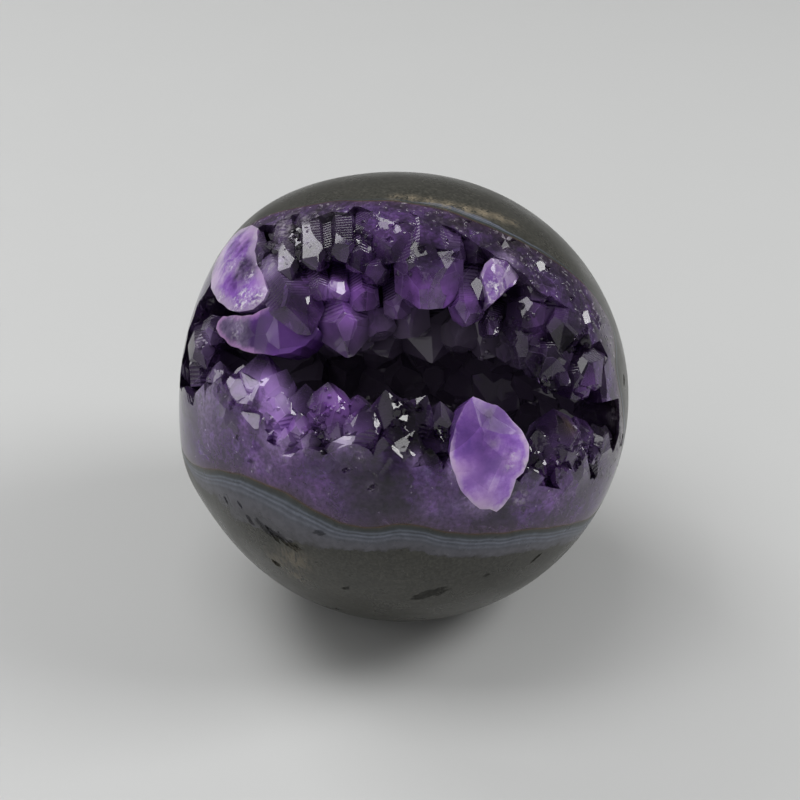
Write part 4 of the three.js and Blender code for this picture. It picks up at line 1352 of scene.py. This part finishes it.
def amethystMaterial():
    material, tree, skin = freshMaterial("amethyst")
    spot = addNode(tree, "ShaderNodeTexCoord").outputs["Object"]
    polished = attribute(tree, "polished")
    tone = attribute(tree, "tone")
    depth = attribute(tree, "wallDepth")
    milk = attribute(tree, "milk")
    glow = attribute(tree, "glow")
    grit = attribute(tree, "grit")
    cloud = grain(tree, spot, 130.0, 5.0, 0.6)
    patch = grain(tree, spot, 75.0, 2.0)
    leaning = addNode(tree, "ShaderNodeMapping", {
        "Vector": spot, "Rotation": (0.5, 0.3, 0.9), "Scale": (1.0, 0.55, 0.8)}).outputs["Vector"]
    veils = addNode(tree, "ShaderNodeTexVoronoi", {"Vector": leaning, "Scale": 330.0})
    veilTone = addNode(tree, "ShaderNodeSeparateXYZ", {
        "Vector": veils.outputs["Color"]}).outputs["X"]
    veilEdges = addNode(tree, "ShaderNodeTexVoronoi", {
        "Vector": leaning, "Scale": 330.0}, feature="DISTANCE_TO_EDGE")
    unpolished = calculate(tree, "MAXIMUM", calculate(
        tree, "SUBTRACT", 1.0, polished), attribute(tree, "broken"))
    cavity = spread(tree, attribute(tree, "sunk"), 0, 1, 4.0, 11.0)
    cloud = calculate(tree, "MULTIPLY_ADD", calculate(
        tree, "SUBTRACT", veilTone, 0.5), spread(tree, polished, 0.22, 0.1), cloud)
    crack = calculate(tree, "MULTIPLY", calculate(tree, "MULTIPLY", spread(
        tree, veilEdges.outputs["Distance"], 1, 0, 0.0, 0.03), calculate(
        tree, "SUBTRACT", unpolished, cavity, clamp=True)), spread(
        tree, veilTone, 0, 0.25, 0.6, 0.8))
    uv = addNode(tree, "ShaderNodeUVMap", uv_map="crystalUv").outputs["UV"]
    fromTip = addNode(tree, "ShaderNodeSeparateXYZ", {"Vector": uv}).outputs["Y"]
    rootVeil = spread(tree, fromTip, 0.13, 0.6, 0.5, 7.0)
    rootVeil = calculate(tree, "MULTIPLY_ADD", glow, 0.3, rootVeil)
    wallVeil = spread(tree, depth, 0.75, 0.45, 1.0, 10.0)
    onCrystal = calculate(tree, "GREATER_THAN", tone, 0.05)
    flush = calculate(tree, "MULTIPLY", polished, 0.3)
    rootVeil = calculate(tree, "ADD", rootVeil, flush)
    veil = addNode(tree, "ShaderNodeMix", {
        0: onCrystal, 2: wallVeil, 3: rootVeil}, data_type="FLOAT").outputs[0]
    veil = calculate(tree, "MULTIPLY_ADD", calculate(tree, "SUBTRACT", cloud, 0.5), 1.3, veil)
    dark = attribute(tree, "dark")
    veil = calculate(tree, "MULTIPLY", veil, spread(tree, dark, 1.0, 0.5))
    # painted light: the bottom of the hollow turns opaque so that its lighter fill colour shows
    veil = calculate(tree, "MULTIPLY_ADD", cavity, 0.9, veil)
    veil = calculate(tree, "ADD", veil, calculate(tree, "MULTIPLY", crack, 0.5))
    veil = calculate(tree, "MULTIPLY_ADD", attribute(tree, "whiteAndPaintedHighlight"), 0.7, veil)
    cover = calculate(tree, "ADD", veil, milk, clamp=True)

    # the crystals that were sliced by the polishing show as sections with fine lines between
    warped = addNode(tree, "ShaderNodeVectorMath", {
        0: spot, 1: addNode(tree, "ShaderNodeVectorMath", {
            0: addNode(tree, "ShaderNodeTexNoise", {
                "Vector": spot, "Scale": 220.0, "Detail": 3.0}).outputs["Color"],
            "Scale": 0.0045}, operation="SCALE").outputs[0]}, operation="ADD").outputs[0]
    section = addNode(tree, "ShaderNodeTexVoronoi", {"Vector": warped, "Scale": 230.0})
    seams = addNode(tree, "ShaderNodeTexVoronoi", {
        "Vector": warped, "Scale": 230.0}, feature="DISTANCE_TO_EDGE")
    sectionTone = addNode(tree, "ShaderNodeSeparateXYZ", {
        "Vector": section.outputs["Color"]}).outputs["X"]
    line = calculate(tree, "MULTIPLY", spread(
        tree, seams.outputs["Distance"], 1, 0, 0.0, 0.02), spread(tree, cloud, 0, 0.25, 0.48, 0.66))
    body = blend(
        tree, spread(tree, patch, 0, 1, 0.42, 0.66), amethystLook["deep"], amethystLook["violet"])
    mixed = calculate(
        tree, "MULTIPLY_ADD", grain(tree, warped, 480.0, 6.0, 0.66), 0.5, calculate(
            tree, "MULTIPLY", grain(tree, warped, 110.0, 4.0, 0.6), 0.5))
    slice = ramp(tree, mixed, amethystLook["sliced"])
    body = blend(tree, calculate(tree, "MULTIPLY", polished, 0.85), body, slice)
    body = blend(tree, calculate(tree, "MULTIPLY", dark, 0.7), body, amethystLook["shade"])
    # painted light: vivid violet blended in where the glow patches lie
    body = blend(tree, calculate(tree, "MULTIPLY", glow, spread(
        tree, cloud, 0.25, 1, 0.4, 0.6)), body, amethystLook["vivid"])
    body = blend(tree, calculate(tree, "MULTIPLY", polished, spread(
        tree, sectionTone, 0.6, 0, 0.0, 0.6)), body, amethystLook["deep"])
    # painted light: the bottom of the hollow is blended towards the lighter fill colour
    body = blend(tree, calculate(tree, "MULTIPLY", cavity, 0.75), body, amethystLook["hollowPaintedFill"])
    body = blend(tree, crack, body, amethystLook["milky"])
    body = blend(tree, spread(tree, depth, 0.7, 0, 0.2, 2.2), body, amethystLook["mauve"])
    body = blend(tree, spread(tree, depth, 0.7, 0, 0.05, 0.35), body, amethystLook["rust"])
    body = blend(tree, spread(tree, milk, 0, 1, 0.05, 0.8), body, amethystLook["milky"])
    body = blend(tree, calculate(tree, "MULTIPLY", line, polished), body, amethystLook["milky"])
    body = blend(tree, attribute(tree, "tan"), body, amethystLook["olive"])
    crumbs = addNode(tree, "ShaderNodeTexVoronoi", {"Vector": warped, "Scale": 1500.0})
    crumbTone = addNode(tree, "ShaderNodeSeparateXYZ", {
        "Vector": crumbs.outputs["Color"]}).outputs["X"]
    body = blend(tree, calculate(tree, "MULTIPLY", grit, spread(
        tree, grain(tree, spot, 420.0, 4.0, 0.6), 0.3, 1, 0.4, 0.6)), body,
        ramp(tree, crumbTone, amethystLook["grit"]))
    body = blend(tree, calculate(tree, "MULTIPLY", attribute(tree, "rind"), spread(
        tree, grain(tree, spot, 500.0, 4.0, 0.6), 0.5, 1, 0.42, 0.55)), body, amethystLook["rind"])
    dusty = spread(tree, grain(tree, spot, 1500.0, 3.0, 0.6), 0.6, 1.3, 0.35, 0.65)
    body = blend(tree, polished, body, blend(tree, 1.0, body, dusty, "MULTIPLY"))
    for size, share, edge in amethystLook["specks"]:
        specks = addNode(tree, "ShaderNodeTexVoronoi", {"Vector": warped, "Scale": size})
        chosen = addNode(tree, "ShaderNodeSeparateXYZ", {"Vector": specks.outputs["Color"]})
        fleck = calculate(tree, "MULTIPLY", spread(
            tree, specks.outputs["Distance"], 1, 0, edge * 0.5, edge),
            calculate(tree, "GREATER_THAN", chosen.outputs["Y"], 1 - share))
        body = blend(tree, calculate(
            tree, "MULTIPLY", fleck, polished), body, amethystLook["speck"])
    # whitish where the white patches lie: white chips and specks, and the painted ridge highlight
    body = blend(tree, calculate(tree, "MULTIPLY", attribute(tree, "whiteAndPaintedHighlight"), spread(
        tree, grain(tree, spot, 900.0, 5.0, 0.7), 0, 1, 0.45, 0.6)), body, amethystLook["whiteAndPaintedHighlight"])
    glass = blend(tree, tone, amethystLook["smoky"], amethystLook["clear"])
    tree.links.new(
        blend(tree, spread(tree, cover, 0, 1, 0.0, 0.07), glass, body), skin.inputs["Base Color"])
    tree.links.new(
        calculate(tree, "SUBTRACT", 1.0, cover, clamp=True), skin.inputs["Transmission Weight"])
    rough = spread(
        tree, unpolished, amethystLook["polishedRoughness"], amethystLook["crystalRoughness"])
    tree.links.new(calculate(
        tree, "MULTIPLY_ADD", attribute(tree, "side"), amethystLook["sideRoughness"], rough),
        skin.inputs["Roughness"])
    skin.inputs["IOR"].default_value = 1.544
    uv = addNode(tree, "ShaderNodeVectorMath", {
        0: uv, 1: addNode(tree, "ShaderNodeCombineXYZ", {
            "X": calculate(tree, "MULTIPLY", tone, 50.0),
            "Y": calculate(tree, "MULTIPLY", tone, 90.0)}).outputs[0]},
        operation="ADD").outputs[0]
    stripes = addNode(tree, "ShaderNodeTexWave", {
        "Vector": uv, "Scale": 0.45, "Distortion": 2.5, "Detail": 1.0, "Detail Scale": 0.3},
        bands_direction="Y", wave_profile="SIN")
    striped = calculate(
        tree, "MULTIPLY", attribute(tree, "side"), spread(tree, tone, 0.35, 1, 0.3, 0.5))
    normal = bump(
        tree, calculate(tree, "MULTIPLY", stripes.outputs["Fac"], striped), 1.0, 0.00014)
    normal = bump(tree, grain(tree, uv, 0.4, 3.0, 0.5), 0.4, 0.0002, normal)
    normal = chips(tree, veils, leaning, calculate(tree, "MULTIPLY", calculate(
        tree, "SUBTRACT", unpolished, calculate(tree, "MULTIPLY", cavity, 0.6), clamp=True),
        spread(tree, veilTone, 0, 0.55, 0.3, 0.6)), normal)
    grains = calculate(tree, "MULTIPLY", spread(
        tree, crumbs.outputs["Distance"], 1, 0, 0.0, 0.5), calculate(
        tree, "GREATER_THAN", crumbTone, 0.72))
    tree.links.new(bump(tree, calculate(tree, "MULTIPLY", grains, calculate(
        tree, "MULTIPLY", grit, polished)), 0.8, 0.0004, normal), skin.inputs["Normal"])
    depths = addNode(tree, "ShaderNodeVolumeAbsorption", {
        "Color": (*amethystLook["absorbColour"], 1), "Density": amethystLook["absorbDensity"]})
    tree.links.new(depths.outputs[0], tree.nodes["Material Output"].inputs["Volume"])
    return material


paleLook = {
    "rim": (0.8, 0.62, 0.92),
    "lilac": [  # cloud value, colour
        (0.0, (0.2, 0.09, 0.42)), (0.4, (0.36, 0.16, 0.66)), (0.56, (0.46, 0.24, 0.76)),
        (0.75, (0.62, 0.42, 0.84)), (1.0, (0.72, 0.52, 0.88)),
    ],
    "ovoid": [
        (0.0, (0.06, 0.025, 0.12)), (0.35, (0.18, 0.06, 0.36)), (0.55, (0.32, 0.13, 0.58)),
        (0.75, (0.42, 0.26, 0.6)), (1.0, (0.56, 0.42, 0.68)),
    ],
    "ovoidRim": (0.46, 0.34, 0.56),
    "plumLeft": (0.2, 0.15, 0.27),
    "plumRight": (0.17, 0.045, 0.36),
    "plumRim": (0.5, 0.28, 0.56),
    "crumb": (0.66, 0.52, 0.78),
    "plumDark": (0.04, 0.018, 0.08),
    "heart": (0.07, 0.025, 0.14),
    "whiteAndPaintedHighlight": (0.85, 0.8, 0.88),
    "glow": 0.35,  # share of the light that wanders through, and how far, in mm
    "glowReach": (2.0, 1.3, 2.5),
    # painted light: the colour laid on where the glow patches lie
    "violet": (0.32, 0.12, 0.6),
    "pink": (0.74, 0.5, 0.84),
    "absorbColour": (0.72, 0.45, 0.88),
    "absorbDensity": 120.0,
    "roughness": 0.18,
}


def paleMaterial():
    material, tree, skin = freshMaterial("paleAmethyst")
    spot = addNode(tree, "ShaderNodeTexCoord").outputs["Object"]
    tone = attribute(tree, "tone")
    edge = attribute(tree, "edge")
    cloud = spread(tree, grain(tree, spot, 150.0, 6.0, 0.62), 0, 1, 0.3, 0.7)
    fine = calculate(tree, "SUBTRACT", grain(tree, spot, 620.0, 4.0, 0.6), 0.5)
    streaks = calculate(tree, "SUBTRACT", grain(tree, spot, 1100.0, 2.0), 0.5)
    cloud = calculate(tree, "MULTIPLY_ADD", fine, 0.5, cloud)
    leaning = addNode(tree, "ShaderNodeMapping", {
        "Vector": spot, "Rotation": (0.5, 0.3, 0.9), "Scale": (1.0, 0.55, 0.8)}).outputs["Vector"]
    veils = addNode(tree, "ShaderNodeTexVoronoi", {"Vector": leaning, "Scale": 260.0})
    shards = addNode(tree, "ShaderNodeTexVoronoi", {"Vector": leaning, "Scale": 900.0})
    granular = calculate(tree, "MULTIPLY", calculate(tree, "GREATER_THAN", tone, 0.7), calculate(
        tree, "LESS_THAN", tone, 0.8))
    veilTone = addNode(tree, "ShaderNodeSeparateXYZ", {
        "Vector": veils.outputs["Color"]}).outputs["X"]
    cloud = calculate(tree, "MULTIPLY_ADD", calculate(
        tree, "SUBTRACT", veilTone, 0.5), spread(tree, tone, 0.6, 0.25, 0.3, 0.9), cloud)
    inner = calculate(tree, "MULTIPLY_ADD", streaks, 1.2, edge)
    inner = calculate(tree, "MULTIPLY_ADD", fine, 1.6, inner)
    lilac = ramp(tree, cloud, paleLook["lilac"])
    lilac = blend(tree, spread(tree, inner, 0.9, 0, 0.1, 0.9), lilac, paleLook["rim"])
    ovoid = ramp(tree, cloud, paleLook["ovoid"])
    ovoid = blend(tree, spread(tree, inner, 1, 0, 0.8, 2.0), ovoid, paleLook["ovoidRim"])
    colour = blend(tree, spread(tree, tone, 0, 1, 0.6, 0.9), ovoid, lilac)
    across = addNode(tree, "ShaderNodeSeparateXYZ", {"Vector": spot}).outputs["X"]
    plum = blend(
        tree, spread(tree, across, 0, 1, -0.0232, -0.0222), paleLook["plumLeft"],
        paleLook["plumRight"])
    plum = blend(tree, spread(tree, cloud, 0.9, 0, 0.15, 0.6), plum, paleLook["plumDark"])
    plum = blend(tree, spread(tree, inner, 0.7, 0, 0.2, 1.0), plum, paleLook["plumRim"])
    colour = blend(tree, spread(tree, tone, 0, 1, 0.3, 0.6), plum, colour)
    # painted light: violet blended in where the glow patches lie
    colour = blend(tree, calculate(tree, "MULTIPLY", attribute(tree, "glow"), spread(
        tree, cloud, 1, 0.4, 0.2, 0.8)), colour, paleLook["violet"])
    colour = blend(tree, calculate(tree, "MULTIPLY", attribute(tree, "milk"), spread(
        tree, cloud, 0.5, 1, 0.2, 0.7)), colour, paleLook["pink"])
    colour = blend(tree, calculate(tree, "MULTIPLY", attribute(tree, "dark"), spread(
        tree, fine, 0.6, 1, -0.1, 0.1)), colour, paleLook["plumDark"])
    crumbs = spread(tree, grain(tree, spot, 1300.0, 5.0, 0.7), 0, 1, 0.5, 0.6)
    shardTone = addNode(tree, "ShaderNodeSeparateXYZ", {
        "Vector": shards.outputs["Color"]}).outputs["Y"]
    colour = blend(tree, calculate(tree, "MULTIPLY", granular, spread(
        tree, shardTone, 0, 0.8, 0.2, 0.8)), colour, paleLook["crumb"])
    rugged = calculate(tree, "MULTIPLY", attribute(tree, "whiteAndPaintedHighlight"), spread(
        tree, grain(tree, spot, 700.0, 4.0, 0.7), 0.8, 0, 0.4, 0.5))
    colour = blend(tree, attribute(tree, "polished"), blend(
        tree, 0.45, colour, paleLook["heart"]), colour)
    colour = blend(tree, rugged, colour, paleLook["plumRight"])
    # whitish where the white patches lie: white chips and specks, and a painted highlight along the ridge
    colour = blend(tree, calculate(
        tree, "MULTIPLY", attribute(tree, "whiteAndPaintedHighlight"), crumbs), colour, paleLook["whiteAndPaintedHighlight"])
    tree.links.new(colour, skin.inputs["Base Color"])
    clear = calculate(tree, "MULTIPLY", spread(tree, inner, 0.1, 0.3, 0.5, 5.0), spread(
        tree, cloud, 1, 0.3, 0.3, 0.9))
    tree.links.new(clear, skin.inputs["Transmission Weight"])
    skin.inputs["Roughness"].default_value = paleLook["roughness"]
    skin.inputs["IOR"].default_value = 1.544
    skin.inputs["Subsurface Weight"].default_value = paleLook["glow"]
    skin.inputs["Subsurface Radius"].default_value = paleLook["glowReach"]
    skin.inputs["Subsurface Scale"].default_value = mm
    normal = bump(tree, grain(tree, spot, 500.0, 3.0), 0.12, 0.0002)
    normal = chips(tree, veils, leaning, spread(tree, tone, 0.5, 0.08, 0.78, 0.88), normal)
    normal = chips(tree, shards, leaning, calculate(tree, "MULTIPLY", granular, 0.8), normal)
    tree.links.new(bump(tree, calculate(
        tree, "MULTIPLY", attribute(tree, "whiteAndPaintedHighlight"), grain(tree, spot, 700.0, 4.0, 0.7)),
        1.0, 0.0008, normal), skin.inputs["Normal"])
    depths = addNode(tree, "ShaderNodeVolumeAbsorption", {
        "Color": (*paleLook["absorbColour"], 1), "Density": paleLook["absorbDensity"]})
    tree.links.new(depths.outputs[0], tree.nodes["Material Output"].inputs["Volume"])
    return material


paleStone = paleMaterial()
for piece, material, node, slot in [
    (stone, stoneMaterial(), "stone_ball", "stone"),
    (crust, amethystMaterial(), "amethyst_crust", "amethyst"),
] + [(piece, paleStone, "amethyst_crust", "amethyst") for piece in cutPieces]:
    piece.data.materials.clear()
    piece.data.materials.append(material)
    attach(piece, "root")
    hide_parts(node)
    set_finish(piece, slot)
for piece in list(bpy.data.objects):
    if piece.type == "MESH" and "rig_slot" not in piece and piece.name not in frame["nodes"]:
        bpy.data.objects.remove(piece)
report("materials made")

view = {"elevation": 33, "lens": 90, "circle": 224.5, "centre": (404, 397), "frame": 800}
rise = math.radians(view["elevation"])
back = Vector((0, -math.cos(rise), math.sin(rise)))
far = ball["radius"] / math.sin(math.atan(view["circle"] / view["frame"] * 36 / view["lens"]))
camera = bpy.data.cameras.new("camera")
camera.lens = view["lens"]
camera.shift_x = (400 - view["centre"][0]) / view["frame"]
camera.shift_y = (view["centre"][1] - 400) / view["frame"]
eye = bpy.data.objects.new("camera", camera)
eye.location = ballCentre + back * far
eye.rotation_euler = (-back).to_track_quat("-Z", "Y").to_euler()
bpy.context.scene.collection.objects.link(eye)
bpy.context.scene.camera = eye

studio = {
    "distance": 0.7,
    "lamps": {  # azimuth from +x, height in degrees, width in metres, watts
        "key": (0, 40, 0.3, 2.6),
        "front": (225, 20, 1.0, 1.67),
        "rear": (135, 40, 0.3, 1.28),
        "left": (180, 60, 0.3, 1.14),
        "top": (180, 80, 0.3, 0.9),
    },
    "sky": 0.15,
    "floorSize": 4.0,
    "floorColour": (0.6, 0.605, 0.6),
}
for name, (azimuth, height, width, power) in studio["lamps"].items():
    lamp = bpy.data.lights.new(name, "AREA")
    lamp.size = width
    lamp.energy = power
    away = Vector((1, 0, 0))
    away.rotate(Euler((0, -math.radians(height), math.radians(azimuth))))
    light = bpy.data.objects.new(name, lamp)
    light.location = ballCentre + away * studio["distance"]
    light.rotation_euler = away.to_track_quat("Z", "Y").to_euler()
    bpy.context.scene.collection.objects.link(light)
world = bpy.data.worlds.new("world")
world.use_nodes = True
world.node_tree.nodes["Background"].inputs["Strength"].default_value = studio["sky"]
world.node_tree.nodes["Background"].inputs["Color"].default_value = (1, 1, 1, 1)
bpy.context.scene.world = world
bpy.context.scene.view_settings.view_transform = "Standard"

bm = bmesh.new()
bmesh.ops.create_grid(bm, x_segments=1, y_segments=1, size=studio["floorSize"] / 2)
floor = meshObject("floor", bm)
paper, tree, skin = freshMaterial("paper")
spot = addNode(tree, "ShaderNodeTexCoord").outputs["Object"]
tree.links.new(blend(
    tree, grain(tree, spot, 40.0, 3.0), studio["floorColour"],
    tuple(0.985 * part for part in studio["floorColour"])), skin.inputs["Base Color"])
skin.inputs["Roughness"].default_value = 0.6
floor.data.materials.append(paper)

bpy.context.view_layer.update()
report("scene ready")
